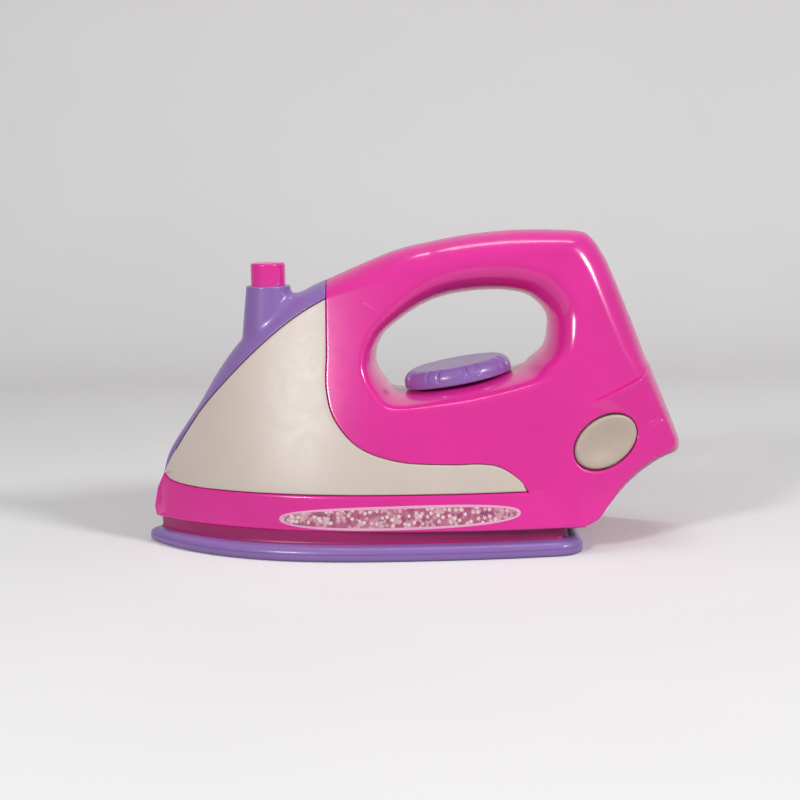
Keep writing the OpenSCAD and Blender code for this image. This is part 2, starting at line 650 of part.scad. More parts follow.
coil_ring = 8;
coil_sides = 6;
function coil_pts(r, h, turns, lead) =
    let (n = turns * coil_ring)
    concat([[r, -wire_d, lead]],
        [for (i = [0 : n]) let (a = 360 * i / coil_ring)
            [r * cos(a), r * sin(a), lerp(lead, h - lead, i / n)]],
        [[r, wire_d, h - lead]]);
function coil_gap(h, turns, lead) = (h - 2 * lead) / turns - wire_d;
module coil(r, h, turns) {
    lead = wire_d / 2 + 0.05;
    pts = coil_pts(r, h, turns, lead);
    n = len(pts);
    rings = [for (i = [0 : n - 1])
        let (t = unit(pts[min(n - 1, i + 1)] - pts[max(0, i - 1)]),
             out = unit([pts[i].x, i == 0 || i == n - 1 ? 0 : pts[i].y, 0]), side = unit(cross(t, out)),
             across = unit(cross(side, t)))
        [for (k = [0 : coil_sides - 1]) let (a = 360 * k / coil_sides)
            pts[i] + wire_d / 2 * (cos(a) * across + sin(a) * side)]];
    last = (n - 1) * coil_sides;
    echo(coil_gap_mm = coil_gap(h, turns, lead));
    polyhedron(points = [for (ring = rings, p = ring) p],
        faces = concat(
            [for (i = [0 : n - 2], k = [0 : coil_sides - 1])
                let (e = i * coil_sides, f = e + coil_sides, q = (k + 1) % coil_sides)
                each tri(e + q, e + k, f + k, f + q)],
            [for (k = [1 : coil_sides - 2]) [0, k, k + 1]],
            [for (k = [1 : coil_sides - 2]) [last, last + k + 1, last + k]]));
}
spray_coil_r = 3.4;
spray_turns = 9;
module spray_spring() {
    color(steel) translate([turret_x, 0, turret_foot_z + plug_h])
        coil(spray_coil_r, spray_floor_z - turret_foot_z - plug_h, spray_turns);
}

// Dial: knob with a notched rim, shaft through the seat, washer and screw under it

dial_lift = gap;
dial_shoulder = 4.5;
notch_d = 2.2;
notch_depth = 0.7;
notch_l = 6;
notch_apart = 14;
notch_turn = 15;
dial_pilot_l = shaft_l - 2;
function shoulder_at(a) = [dial_d / 2 - dial_shoulder * (1 - cos(a)), dial_h - dial_shoulder * (1 - sin(a))];
module shoulder_notch() {
    p = shoulder_at(45);
    translate([p.x, 0, p.y + dial_lift]) rotate([0, -45, 0])
        translate([notch_d / 2 - notch_depth, 0, -notch_l / 2]) cylinder(d = notch_d, h = notch_l);
}
module temperature_dial() {
    color(lavender) dial_frame() difference() {
        union() {
            translate([0, 0, dial_lift]) rotate_extrude()
                polygon(concat([[0, 0], [dial_d / 2 - 1, 0], [dial_d / 2, 1]],
                    [for (a = [0 : 22.5 : 90]) shoulder_at(a)], [[0, dial_h]]));
            translate([0, 0, -shaft_l]) cylinder(d = shaft_d, h = shaft_l + 1);
        }
        for (k = [0 : notch_pairs - 1], s = [-0.5, 0.5])
            rotate(notch_turn + 360 * k / notch_pairs + s * notch_apart) shoulder_notch();
        translate([0, 0, -shaft_l - 1]) cylinder(d = screw_d + screw_fit, h = dial_pilot_l + 1);
    }
}
washer_d = dial_boss_d - 2;
washer_t = 1.2;
module dial_washer() {
    color(steel) dial_frame() translate([0, 0, -shaft_l - washer_t]) difference() {
        cylinder(d = washer_d, h = washer_t);
        translate([0, 0, -1]) cylinder(d = screw_d + shank_clear, h = washer_t + 2);
    }
}
module dial_screw() {
    color(steel) dial_frame() translate([0, 0, -shaft_l - washer_t]) {
        translate([0, 0, -screw_head_h]) cylinder(d = screw_head_d, h = screw_head_h);
        cylinder(d = screw_d, h = washer_t + dial_pilot_l - 1);
    }
}

// Oval side buttons with springs on a carrier between the halves, sizes along the button's axis

flange_w = -(wall + 0.9);
oval_flange_t = 1.6;
oval_flange_grow = 1.6;
stem_d = 10.4;
stem_bore_d = 8;
oval_floor_w = flange_w - oval_flange_t + 0.4;
seat_w = -19;
stem_clear = 3.5;
stem_end_w = seat_w + oval_travel + stem_clear;
dish_r = 60;
dish_depth = 0.8;
module side_button() {
    oval_frame() difference() {
        union() {
            translate([0, 0, flange_w - 0.2]) oval(0, oval_proud - flange_w + 0.2);
            translate([0, 0, flange_w - oval_flange_t]) oval(oval_flange_grow, oval_flange_t);
            translate([0, 0, stem_end_w]) cylinder(d = stem_d, h = flange_w - stem_end_w);
        }
        translate([0, 0, oval_proud - dish_depth + dish_r]) sphere(r = dish_r, $fn = 96);
        translate([0, 0, stem_end_w - 1]) cylinder(d = stem_bore_d, h = oval_floor_w - stem_end_w + 1);
    }
}
module left_side_button() { color(pale_grey) side_button(); }
module right_side_button() { color(pale_grey) mirror([0, 1, 0]) side_button(); }
oval_coil_r = 2.9;
oval_turns = 6;
module button_spring() {
    color(steel) oval_frame() translate([0, 0, seat_w]) coil(oval_coil_r, oval_floor_w - seat_w, oval_turns);
}
module left_button_spring() { button_spring(); }
module right_button_spring() { mirror([0, 1, 0]) button_spring(); }

carrier_w = 13;
arm_d = 9;
arm_foot_y = -1.5;
spigot_d = 4.2;
spigot_l = 8;
arm_end_w = (arm_foot_y - oval_p.y) / oval_w.y;
module carrier_arm() {
    oval_frame() {
        translate([0, 0, arm_end_w]) cylinder(d = arm_d, h = seat_w - arm_end_w);
        translate([0, 0, seat_w - 1]) cylinder(d = spigot_d, h = spigot_l + 1);
    }
}
module button_carrier() {
    a = screw_pts[carrier_screws[0]];
    b = screw_pts[carrier_screws[1]];
    span = norm(b - a);
    color(pale_grey) difference() {
        union() {
            at_side(a) rotate([0, -atan2(b.y - a.y, b.x - a.x), 0])
                translate([-carrier_w / 2, -carrier_t / 2, -carrier_w / 2])
                    cube([span + carrier_w, carrier_t, carrier_w]);
            carrier_arm();
            mirror([0, 1, 0]) carrier_arm();
        }
        for (p = [a, b]) at_side(p) translate([0, carrier_t, 0])
            rotate([90, 0, 0]) cylinder(d = screw_d + shank_clear, h = 2 * carrier_t);
    }
}

// Stickers on the skirt

sticker_x = -5.6;
sticker_z = 15.6;
sticker_slope = 0.022;
sticker_cols = 20;
sticker_power = 2.5;
sticker_glue = 0.08;
function sticker_column(k, off) =
    let (u = 0.996 * cos(180 * k / sticker_cols),
         half = sticker_h / 2 * pow(1 - pow(abs(u), sticker_power), 1 / sticker_power),
         x = sticker_x - sticker_l / 2 * u)
    [for (v = [1, 0, -1]) let (z = sticker_z + sticker_slope * (x - sticker_x) + v * half)
        [x, -half_w([x, z]) - off, z]];
module sticker() {
    skin([for (k = [0 : sticker_cols]) sticker_column(k, sticker_glue + sticker_t)],
        [for (k = [0 : sticker_cols]) sticker_column(k, sticker_glue)], false);
}
module left_sticker() { color("#d99ab0") sticker(); }
module right_sticker() { color("#d99ab0") mirror([0, 1, 0]) sticker(); }

// Base frame with the neck, and the sole plate

sole_power = 2.85;
sole_draw = 0.0013;
sole_corner = 12;
ring_steps = 26;
function plan_side(nose, rear, half, draw, corner) =
    [for (k = [0 : ring_steps])
        let (x = lerp(nose, rear, (1 - cos(180 * k / ring_steps)) / 2),
             y = plan(x, nose, 0, half, sole_power, draw),
             cut = plan(rear - corner, nose, 0, half, sole_power, draw) - corner
                 + sqrt(max(0, pow(corner, 2) - pow(max(0, x - rear + corner), 2))))
        [x, x > rear - corner ? min(y, cut) : y]];
function mirror_ring(side) =
    concat([for (p = side) [p.x, -p.y]], [for (k = [len(side) - 1 : -1 : 1]) side[k]]);
function sole_ring(inset) =
    mirror_ring(plan_side(nose_x + 1.5 * inset, sole_rear_x - inset, sole_half_w - inset, sole_draw,
        sole_corner - inset));
neck_nose = 5;
neck_corner = 5;
neck_rear_x = skirt_rear_x - 6.5;
neck_ring = mirror_ring(plan_side(nose_x + neck_nose, neck_rear_x, sole_half_w - neck_inset, sole_draw,
    neck_corner));
lip_front_x = nose_x + 9;
lip_rear_x = skirt_rear_x - 4.6;
function lip_ring(inset) = mirror_ring([for (k = [0 : ring_steps])
    let (x = lerp(lip_front_x + inset, lip_rear_x - inset, (1 - cos(180 * k / ring_steps)) / 2))
    [x, half_w([x, base_top_z]) - wall - seat_gap - inset]]);
base_wall = 2.4;
module base_frame() {
    color(pink) difference() {
        union() {
            translate([0, 0, sole_t]) linear_extrude(height = skirt_low_z - sole_t) polygon(neck_ring);
            translate([0, 0, skirt_low_z - 0.8]) linear_extrude(height = lip_h + 0.8) polygon(lip_ring(0));
        }
        difference() {
            translate([0, 0, sole_t + base_wall]) linear_extrude(height = far)
                polygon(lip_ring(base_wall + 1));
            for (s = [-1, 1], p = post_pts) translate([p.x, s * p.y, 0])
                cylinder(d = boss_d + 2, h = base_top_z);
        }
        for (s = [-1, 1], p = post_pts) translate([p.x, s * p.y, 0])
            cylinder(d = screw_d + shank_clear, h = far);
    }
}
module ring_stack(rings, heights) {
    n = len(rings[0]);
    top = (len(rings) - 1) * n;
    polyhedron(points = [for (k = [0 : len(rings) - 1], p = rings[k]) [p.x, p.y, heights[k]]],
        faces = concat(
            [for (k = [0 : len(rings) - 2], i = [0 : n - 1]) let (e = k * n, q = (i + 1) % n)
                each tri(e + i, e + n + i, e + n + q, e + q)],
            [for (i = [1 : n - 2]) [0, i, i + 1]],
            [for (i = [1 : n - 2]) [top, top + i + 1, top + i]]));
}
module sole_plate() {
    r = sole_round;
    color(lavender) difference() {
        union() {
            linear_extrude(height = sole_t) polygon(sole_ring(r));
            ring_stack([for (inset = [r, r * 0.3, 0, 0, r * 0.3, r]) sole_ring(inset)],
                [0.1, r * 0.3, r, sole_t - r, sole_t - r * 0.3, sole_t - 0.1]);
        }
        for (s = [-1, 1], p = post_pts) translate([p.x, s * p.y, -1]) {
            cylinder(d = screw_d + shank_clear, h = far);
            cylinder(d = screw_head_d + head_clear, h = 1 + sole_head_z + screw_head_h);
        }
    }
}
module sole_screws() { color(steel) for (s = [-1, 1], p = post_pts) sole_screw([p.x, s * p.y]); }
module shell_screws() { color(steel) for (p = screw_pts) shell_screw(p); }

left_shell();
right_shell();
left_side_panel();
right_side_panel();
tank_cover();
spray_button();
spray_spring();
spray_retainer();
temperature_dial();
dial_washer();
dial_screw();
left_side_button();
right_side_button();
left_button_spring();
right_button_spring();
button_carrier();
left_sticker();
right_sticker();
base_frame();
sole_plate();
sole_screws();
shell_screws();
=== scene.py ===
"""Toy iron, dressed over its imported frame. Sizes are in millimetres until a mesh is made."""
from math import asin, atan2, cos, degrees, isnan, nan, pi, radians as rad, sin, sqrt, tan

import bpy
import numpy as np
from mathutils import Matrix, Vector
from mathutils.bvhtree import BVHTree


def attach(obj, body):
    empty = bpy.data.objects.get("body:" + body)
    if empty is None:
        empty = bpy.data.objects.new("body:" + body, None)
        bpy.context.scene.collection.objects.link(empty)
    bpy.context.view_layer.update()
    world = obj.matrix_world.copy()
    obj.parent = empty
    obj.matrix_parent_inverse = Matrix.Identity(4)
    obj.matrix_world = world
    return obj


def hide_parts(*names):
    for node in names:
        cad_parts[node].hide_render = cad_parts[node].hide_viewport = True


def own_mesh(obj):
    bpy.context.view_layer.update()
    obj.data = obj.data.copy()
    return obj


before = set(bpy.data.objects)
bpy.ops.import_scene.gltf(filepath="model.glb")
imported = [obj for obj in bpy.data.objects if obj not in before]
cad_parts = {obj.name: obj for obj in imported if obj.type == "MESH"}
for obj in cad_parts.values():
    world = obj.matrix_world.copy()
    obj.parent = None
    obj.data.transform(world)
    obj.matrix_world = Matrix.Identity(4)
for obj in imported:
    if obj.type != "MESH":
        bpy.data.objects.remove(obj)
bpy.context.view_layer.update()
scene = bpy.context.scene
MM = 0.001

# Driving sizes of the side view, the same as in the part's source
NOSE_X, TAIL_X = -105.6, 105.6
RING_X = -32.3
RING_TOP = 103.3
HUB = np.array([17.8, 75.0])
GRIP_TOP = 121.2
OPEN_TOP = 98.0
OPEN_FRONT, OPEN_REAR = -13.2, 54.2
SEAT_Z = 62.4
DIAL_TILT = rad(9.8)
SKIRT_LOW, SKIRT_TOP = 10.0, 23.7
SKIRT_HALF, BODY_HALF = 44.5, 41.0
SKIRT_REAR = 65.0
LEAN = 0.66
WALL = 2.2
RECESS = 1.9
COVER_INSET = 2.6
GAP = 0.32
COVER_GAP = 0.5


def seat_at(x):
    return SEAT_Z + tan(DIAL_TILT) * (x - HUB[0])


def beside(x, z, *steps):
    """Points at steps from a place of the side view."""
    return [(x + dx, z + dz) for dx, dz in steps]


# The crest is highest here, and level behind it
LEVEL_X = TAIL_X - 65.6
RIDGE = (beside(NOSE_X, 0, (6.1, SKIRT_TOP + 3.3), (9.7, 37.3), (21.5, 55), (29.9, 68.5), (39, 80.2))
         + beside(RING_X, 0, (-23.7, 89.8), (-12.7, 97), (-5.7, 100.8)))
GRIP = ([(RING_X, RING_TOP)] + beside(HUB[0], GRIP_TOP, (-25.1, -7.7), (-9.3, -3.9), (6.4, -1.3))
        + [(LEVEL_X, GRIP_TOP)]
        + beside(TAIL_X, GRIP_TOP, (-49.9, -0.1), (-38.2, -1), (-34.1, -3.4), (-30.3, -8.5), (-26.4, -16.1))
        + beside(TAIL_X, 0, (-18.5, 85.6), (-10.6, 64.7)))
TAIL = (beside(TAIL_X, 0, (-2.6, 44.9), (0, 37.5), (-1, 33.8), (-5.1, 32.2), (-10.6, 29.6), (-21.6, 22.5))
        + beside(SKIRT_REAR, 0, (10.5, 15.5), (6, 11.7), (0, SKIRT_LOW)))
NOSE = beside(NOSE_X, 0, (2.6, SKIRT_LOW), (2, 13.9), (3.5, SKIRT_TOP - 2.4))
OPENING = (beside(OPEN_FRONT, 0, (0, 75), (1.2, 78.8), (5.3, 84.2))
           + beside(HUB[0], OPEN_TOP, (-13.7, -5.7), (-1.8, -1.5), (14, 0), (25.9, -1.3))
           + [(OPEN_REAR - 4.6, OPEN_TOP - 4.6)]
           + beside(OPEN_REAR, 0, (-0.7, 88.6), (0, 83.4), (-1.6, 75.5), (-6.8, 70.4))
           + [(HUB[0] + x, seat_at(HUB[0] + x)) for x in (23.5, 0, -21.1)]
           + beside(OPEN_FRONT, 0, (2.9, 63.9), (-0.1, 70)))
PANEL_REAR = (beside(RING_X, 0, (0, RING_TOP + 2), (0, 90), (0, 76), (-0.2, 63), (2.9, 51.7))
              + [(-20, 41.5), (-5, 36.3), (14, 35), (25, 35), (33, 33.5), (40.3, 28.5), (43.6, SKIRT_TOP)])
PANEL_TOP = (beside(RING_X, 0, (10.3, 99.6), (0, 96.6), (-14.1, 88.3))
             + beside(NOSE_X, 0, (43.1, 74.8), (26.5, 57.7), (17.9, 46.3), (10, 34), (6.4, SKIRT_TOP + 3)))
# Upper edge of the skirt, which lifts to the nose
SKIRT_EDGE = (beside(NOSE_X, SKIRT_TOP, (4.6, 5.8), (6.1, 3.2), (8.6, 1.5), (13.6, 0.5), (22, 0.1), (36, 0))
              + [(SKIRT_REAR + 15, SKIRT_TOP)])
# Step line on the tail block
LEDGE = [(66, 54.4), (70.0, 56.1), (77.5, 59.3), (84.9, 62.5), (92.2, 66.3), (96.4, 68.6)]
# Fine crease on the tail's corner, from its faint end
CREASE = np.array([(89.8, 45.2), (97.5, 48.8)])
CREASE_DEPTH, CREASE_HALF = 0.35, 0.5
# Points that a smooth curve gets between two given ones
CURVE_STEPS = 20


def bend(a, b, c, d, u):
    """Point at u between b and c of a smooth curve through four points."""
    square = 2 * a - 5 * b + 4 * c - d
    cube = 3 * b - a - 3 * c + d
    return 0.5 * (2 * b + (c - a) * u + square * u ** 2 + cube * u ** 3)


def smooth(points, closed=False):
    """A smooth curve through points, as an array of (x, z)."""
    pts = [np.array(p, float) for p in points]
    n = len(pts)
    out = []
    for i in range(n if closed else n - 1):
        if closed:
            four = [pts[(i + k) % n] for k in (-1, 0, 1, 2)]
        else:
            four = [pts[min(n - 1, max(0, i + k))] for k in (-1, 0, 1, 2)]
        out += [bend(*four, k / CURVE_STEPS) for k in range(CURVE_STEPS)]
    return np.array(out if closed else out + [pts[-1]])


CREST = smooth(RIDGE + GRIP)
OUTLINE = np.vstack([smooth(RIDGE + GRIP + TAIL), np.array(NOSE, float)])
OPEN_LOOP = smooth(OPENING, closed=True)
REAR_LINE = smooth(PANEL_REAR)
TOP_LINE = smooth(PANEL_TOP)
LEDGE_LINE = smooth(LEDGE)
SKIRT_LINE = smooth(SKIRT_EDGE)


def step(edge0, edge1, x):
    """Smooth rise from 0 to 1 between two values."""
    t = np.clip((np.asarray(x, float) - edge0) / (edge1 - edge0), 0, 1)
    return t * t * (3 - 2 * t)


# Where body and skirt are widest, and how the body draws in towards the crest
BODY_WIDE_X, SKIRT_WIDE_X = 10, 20
LEAN_POWER = 1.15
# The skirt's edge is crisp along the panels and fades out between these two lines
CRISP, FADED = 0.3, 9
FADE_FROM, FADE_TO = 46, 64


def plan(x, nose, wide_x, half, power=2.6, draw=0.00233):
    """Half width in plan: a curve from the nose to the widest place, then drawn in to the rear."""
    u = np.clip((wide_x - x) / (wide_x - nose), 0, 1)
    return half * (1 - u ** power) ** 0.85 - draw * np.maximum(0, x - wide_x) ** 2


def half_w(x, z):
    """Half width of the body at a point of the side view."""
    x, z = np.asarray(x, float), np.asarray(z, float)
    body = plan(x, NOSE_X + 5, BODY_WIDE_X, BODY_HALF)
    skirt = plan(x, NOSE_X + 2, SKIRT_WIDE_X, SKIRT_HALF)
    rise = CREST[:, 0] < LEVEL_X
    crest = np.where(x > LEVEL_X, GRIP_TOP, np.interp(x, CREST[rise, 0], CREST[rise, 1]))
    soft = CRISP + FADED * step(FADE_FROM, FADE_TO, x)
    low = np.logaddexp(0, (SKIRT_TOP - z) / soft) * soft
    high = np.logaddexp(0, (z - SKIRT_TOP) / soft) * soft
    v = np.clip(high / (crest - SKIRT_TOP), 0, 1)
    return body * (1 - LEAN * v ** LEAN_POWER) + (skirt - body) * low / (SKIRT_TOP - SKIRT_LOW)


def reach(curve, phi, closed=False):
    """Distance from the hub along a direction to the far side of a side view curve."""
    p = curve - HUB
    q = np.roll(p, -1, axis=0) if closed else p[1:]
    p = p if closed else p[:-1]
    d = np.array([cos(phi), sin(phi)])
    a = p[:, 0] * d[1] - p[:, 1] * d[0]
    b = q[:, 0] * d[1] - q[:, 1] * d[0]
    hit = (a * b <= 0) & (a != b)
    t = (a[hit] / (a[hit] - b[hit]))[:, None]
    r = (p[hit] + (q[hit] - p[hit]) * t) @ d
    r = r[r > 0]
    return r.max() if len(r) else nan


FIRST = atan2(RING_TOP - HUB[1], RING_X - HUB[0])


def turn_of(p):
    """Direction of a side view point from the hub, counted on from the ring's front corner."""
    a = atan2(p[1] - HUB[1], p[0] - HUB[0])
    return a + 2 * pi if a < FIRST - 1e-9 else a


NOSE_TURN = turn_of(RIDGE[0])
SKIRT_TURN = turn_of(NOSE[0])
TIP_TURN = turn_of(PANEL_REAR[-1])
REAR_TURN = turn_of((SKIRT_REAR, SKIRT_LOW))
LAST = FIRST + 2 * pi
CORNER_TURN = turn_of((RING_X, PANEL_TOP[1][1]))
LEDGE_START, LEDGE_END = turn_of(LEDGE[0]), turn_of(LEDGE[-1])
ROLL_AT_CORNER = reach(OUTLINE, FIRST, True) - reach(TOP_LINE, FIRST)

# Width of the inner roll of the ring, every 45 degrees from the rear round over the top
INNER_ROLL = [11.4, 15, 12.3, 8.8, 6.6, 6.4, 6.4, 7.4]
LEAST_ROLL = 1.5
# How far the tail below its step stands out of the handle's outline
TAIL_BULGE = 0.6
# Part of the half width that a sunk surface keeps at the least
LEAST_SHARE = 0.12
# How far columns stay off the directions at which the side view changes
TRIM = 2e-4
# Strip that a column keeps inside the outline, and the least step between two rows
RIM, HAIR = 0.3, 0.02


def inner_roll(phi):
    """Width of the roll around the opening in one direction."""
    u = degrees(phi) % 360 / 45
    i = int(u)
    return max(LEAST_ROLL, bend(*[INNER_ROLL[(i + k) % 8] for k in (-1, 0, 1, 2)], u - i))


def outer_roll(phi):
    """Width of the roll of the outer edge behind and over the handle."""
    at = [REAR_TURN, REAR_TURN + rad(20), REAR_TURN + rad(30), REAR_TURN + rad(55), LAST - rad(14), LAST]
    return float(np.interp(phi, at, [0.6, 6, 6, 10, 10, ROLL_AT_CORNER]))


def has_skirt(phi):
    return NOSE_TURN < phi < REAR_TURN


class Ray:
    """One column of the side view, with the distances at which it meets each curve."""

    def __init__(self, phi):
        self.phi = phi
        self.d = np.array([cos(phi), sin(phi)])
        self.hole = reach(OPEN_LOOP, phi, True)
        self.full = reach(OUTLINE, phi, True)
        self.rolled = self.hole + inner_roll(phi)
        self.front = FIRST < phi < TIP_TURN
        if self.front:
            self.shoulder = min(self.full - 1, reach(TOP_LINE, phi)) if phi < NOSE_TURN else self.full
            self.rear_edge = reach(REAR_LINE, phi)
        else:
            self.shoulder = max(self.rolled + 0.8, self.full - outer_roll(phi))
            bulge = step(LEDGE_START - 0.15, LEDGE_END - 0.1, phi)
            bulge *= step(LEDGE_END + 0.012, LEDGE_END - 0.015, phi)
            self.full += TAIL_BULGE * bulge
        self.ledge = min(self.full - 0.25, reach(SKIRT_LINE, phi)) if has_skirt(phi) else self.full

    def at(self, r):
        """Side view points at distances from the hub."""
        return HUB + np.outer(r, self.d)

    def y(self, r, depth=0.0, inset=0.0):
        """Y of the left surface, sunk by depth, with the outer edge drawn in by inset."""
        r = np.asarray(r, float)
        p = self.at(r)
        w = half_w(p[:, 0], p[:, 1])
        w = np.maximum(w - depth, LEAST_SHARE * w)
        if has_skirt(self.phi):
            return -w
        span = max(1e-6, self.full - inset - min(self.shoulder, self.full - inset - RIM))
        t = np.clip((r - (self.full - inset - span)) / span, 0, 1)
        return -w * np.sqrt(1 - t * t)

    def points(self, r, depth=0.0, inset=0.0, share=1.0):
        """Points of the left surface, with a share of its half width."""
        p = self.at(r)
        return np.column_stack([p[:, 0], self.y(r, depth, inset) * share, p[:, 1]])


def spread(a, b, n, power=1.0):
    return a + TRIM + (b - a - 2 * TRIM) * np.linspace(0, 1, n) ** power


# Mesh making

SHARP_ANGLE = 32
WELD = 1e-4


def placed(name, data):
    """A new object in the scene."""
    obj = bpy.data.objects.new(name, data)
    scene.collection.objects.link(obj)
    return obj


def linked(name, verts, faces):
    """A new object from points and faces."""
    mesh = bpy.data.meshes.new(name)
    mesh.from_pydata(np.asarray(verts, float).tolist(), [], [list(map(int, f)) for f in faces])
    return placed(name, mesh)


def object_from(name, verts, faces, *materials):
    """An object from points in millimetres, smooth but for its sharp edges."""
    obj = linked(name, np.asarray(verts, float) * MM, faces)
    mesh = obj.data
    mesh.validate()
    mesh.update()
    for m in materials:
        mesh.materials.append(m)
    mesh.shade_smooth()
    mesh.set_sharp_from_angle(angle=rad(SHARP_ANGLE))
    return obj


def welded(verts, faces):
    """Joins points that lie on each other and drops the faces that collapse."""
    keys = np.round(np.asarray(verts) / WELD).astype(np.int64)
    _, first, back = np.unique(keys, axis=0, return_index=True, return_inverse=True)
    back = back.reshape(-1)
    out = []
    for f in faces:
        g = []
        for i in back[np.asarray(f)]:
            if not g or g[-1] != i:
                g.append(i)
        if len(g) > 2 and g[0] == g[-1]:
            g.pop()
        if len(g) > 2 and len(set(g)) == len(g):
            out.append(g)
    return outward(np.asarray(verts)[first], out)


def outward(verts, faces):
    """The closed solid with every face turned to look out."""
    tris = np.array([(f[0], f[i], f[i + 1]) for f in faces for i in range(1, len(f) - 1)])
    a, b, c = verts[tris[:, 0]], verts[tris[:, 1]], verts[tris[:, 2]]
    if np.einsum("ij,ij->", a, np.cross(b, c)) < 0:
        faces = [f[::-1] for f in faces]
    return verts, faces


def grid_faces(n, m, offset=0, ring=False, flip=False):
    """Quads of a grid of n columns with m points each."""
    out = []
    for i in range(n if ring else n - 1):
        a, b = offset + i * m, offset + (i + 1) % n * m
        for j in range(m - 1):
            f = [a + j, b + j, b + j + 1, a + j + 1]
            out.append(f[::-1] if flip else f)
    return out


def closed_skin(outer, inner, ring):
    """A closed solid between an outer and an inner grid with the same columns."""
    n, m, k = len(outer), len(outer[0]), len(inner[0])
    verts = np.vstack([np.vstack(outer), np.vstack(inner)])
    back = n * m
    faces = grid_faces(n, m, 0, ring) + grid_faces(n, k, back, ring, flip=True)
    for i in range(n if ring else n - 1):
        j = (i + 1) % n
        faces.append([j * m, i * m, back + i * k, back + j * k])
        faces.append([i * m + m - 1, j * m + m - 1, back + j * k + k - 1, back + i * k + k - 1])
    if not ring:
        end = (n - 1) * m
        far = back + (n - 1) * k
        faces.append(list(range(m)) + list(range(back + k - 1, back - 1, -1)))
        faces.append(list(range(end + m - 1, end - 1, -1)) + list(range(far, far + k)))
    return welded(verts, faces)


def ring_skin(cols):
    """A closed solid of columns all around."""
    return welded(np.vstack(cols), grid_faces(len(cols), len(cols[0]), ring=True))


FLIP_Y = np.array([1, -1, 1])


def mirrored(verts, faces):
    return np.asarray(verts) * FLIP_Y, [list(f)[::-1] for f in faces]


def around_of(n):
    return np.linspace(0, 2 * pi, n, endpoint=False)


def lathe(profile, around):
    """Turns a profile of (radius, height) about z; a radius of 0 closes to a point."""
    r, z = np.asarray(profile, float).T
    return ring_skin([np.column_stack([r * cos(a), r * sin(a), z]) for a in around_of(around)])


def arc(cx, cz, r, a0, a1, n):
    """Points of an arc in a profile, angles in degrees."""
    a = np.radians(np.linspace(a0, a1, n))
    return list(zip(cx + r * np.cos(a), cz + r * np.sin(a)))


def moved(mesh, matrix):
    m = np.array(matrix)
    return mesh[0] @ m[:3, :3].T + m[:3, 3], mesh[1]


def shifted(mesh, x, y, z):
    return mesh[0] + [x, y, z], mesh[1]


def cut(verts, faces, cutters):
    """The solid less each cutter, as points and faces."""
    base = linked("temp", verts, faces)
    tools = [linked("temp", *c) for c in cutters]
    for tool in tools:
        mod = base.modifiers.new("cut", "BOOLEAN")
        mod.operation = "DIFFERENCE"
        mod.solver = "EXACT"
        mod.object = tool
    mesh = base.evaluated_get(bpy.context.evaluated_depsgraph_get()).to_mesh()
    out_v = np.array([tuple(v.co) for v in mesh.vertices])
    out_f = [list(p.vertices) for p in mesh.polygons]
    for obj in [base] + tools:
        data = obj.data
        bpy.data.objects.remove(obj)
        bpy.data.meshes.remove(data)
    return out_v, out_f


def dress(obj, body, slot, *nodes):
    """Puts a piece on its body and in the place of its solids, which are hidden. The slot is not used."""
    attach(obj, body)
    if nodes:
        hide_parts(*nodes)


# Materials

def srgb(r, g, b):
    """Linear colour of an 8-bit screen colour."""
    def one(c):
        c /= 255
        return c / 12.92 if c <= 0.04045 else ((c + 0.055) / 1.055) ** 2.4
    return one(r), one(g), one(b), 1.0


def fill(node, **values):
    """Gives a node its settings and inputs; another node's output is linked."""
    for key, value in values.items():
        if isinstance(value, bpy.types.NodeSocket):
            node.id_data.links.new(value, node.inputs[key])
        elif key in node.inputs:
            node.inputs[key].default_value = value
        else:
            setattr(node, key, value)


def node_of(tree, kind, **values):
    node = tree.nodes.new("ShaderNode" + kind)
    fill(node, **values)
    return node


def new_material(name):
    """A material with its tree and surface node."""
    mat = bpy.data.materials.new(name)
    mat.use_nodes = True
    tree = mat.node_tree
    return mat, tree, tree.nodes["Principled BSDF"]


def ramp_of(tree, value, *stops):
    """Colour of a value on a ramp of (position, colour) stops."""
    node = node_of(tree, "ValToRGB", Fac=value)
    ramp = node.color_ramp
    ramp.elements[0].position, ramp.elements[0].color = stops[0]
    ramp.elements[1].position, ramp.elements[1].color = stops[-1]
    for position, colour in stops[1:-1]:
        ramp.elements.new(position).color = colour
    return node.outputs["Color"]


def range_of(tree, value, low, high):
    """A value of 0 to 1 brought between two others."""
    return node_of(tree, "MapRange", Value=value, **{"To Min": low, "To Max": high}).outputs["Result"]


def place_of(tree):
    return node_of(tree, "TexCoord").outputs["Object"]


def noise_of(tree, place, **values):
    return node_of(tree, "TexNoise", Vector=place, **values).outputs["Fac"]


def math_of(tree, operation, *values):
    """Result of a sum on outputs or plain values."""
    node = node_of(tree, "Math", operation=operation)
    for value, socket in zip(values, node.inputs):
        if isinstance(value, float):
            socket.default_value = value
        else:
            tree.links.new(value, socket)
    return node.outputs["Value"]


def plastic(name, colour, rough, worn=0.05, peel=0.02, coat=0.0):
    """Moulded plastic: faint flow marks in its colour, uneven polish and a trace of orange peel."""
    mat, tree, bsdf = new_material(name)
    place = place_of(tree)
    dark = tuple(c * (1 - worn) for c in colour[:3]) + (1,)
    light = tuple(min(1.0, c * (1 + worn)) for c in colour[:3]) + (1,)
    flow = noise_of(tree, place, Scale=28.0, Detail=3.0, Roughness=0.55, Distortion=0.8)
    smear = noise_of(tree, place, Scale=90.0, Detail=5.0, Roughness=0.6, Distortion=1.5)
    grain = noise_of(tree, place, Scale=1400.0, Detail=2.0)
    bump = node_of(tree, "Bump", Strength=peel, Distance=0.0004, Height=grain)
    fill(bsdf, Normal=bump.outputs["Normal"], Roughness=range_of(tree, smear, rough * 0.8, rough * 1.3),
         **{"Base Color": ramp_of(tree, flow, (0.3, dark), (0.75, light)),
            "Coat Weight": coat, "Coat Roughness": 0.08})
    return mat


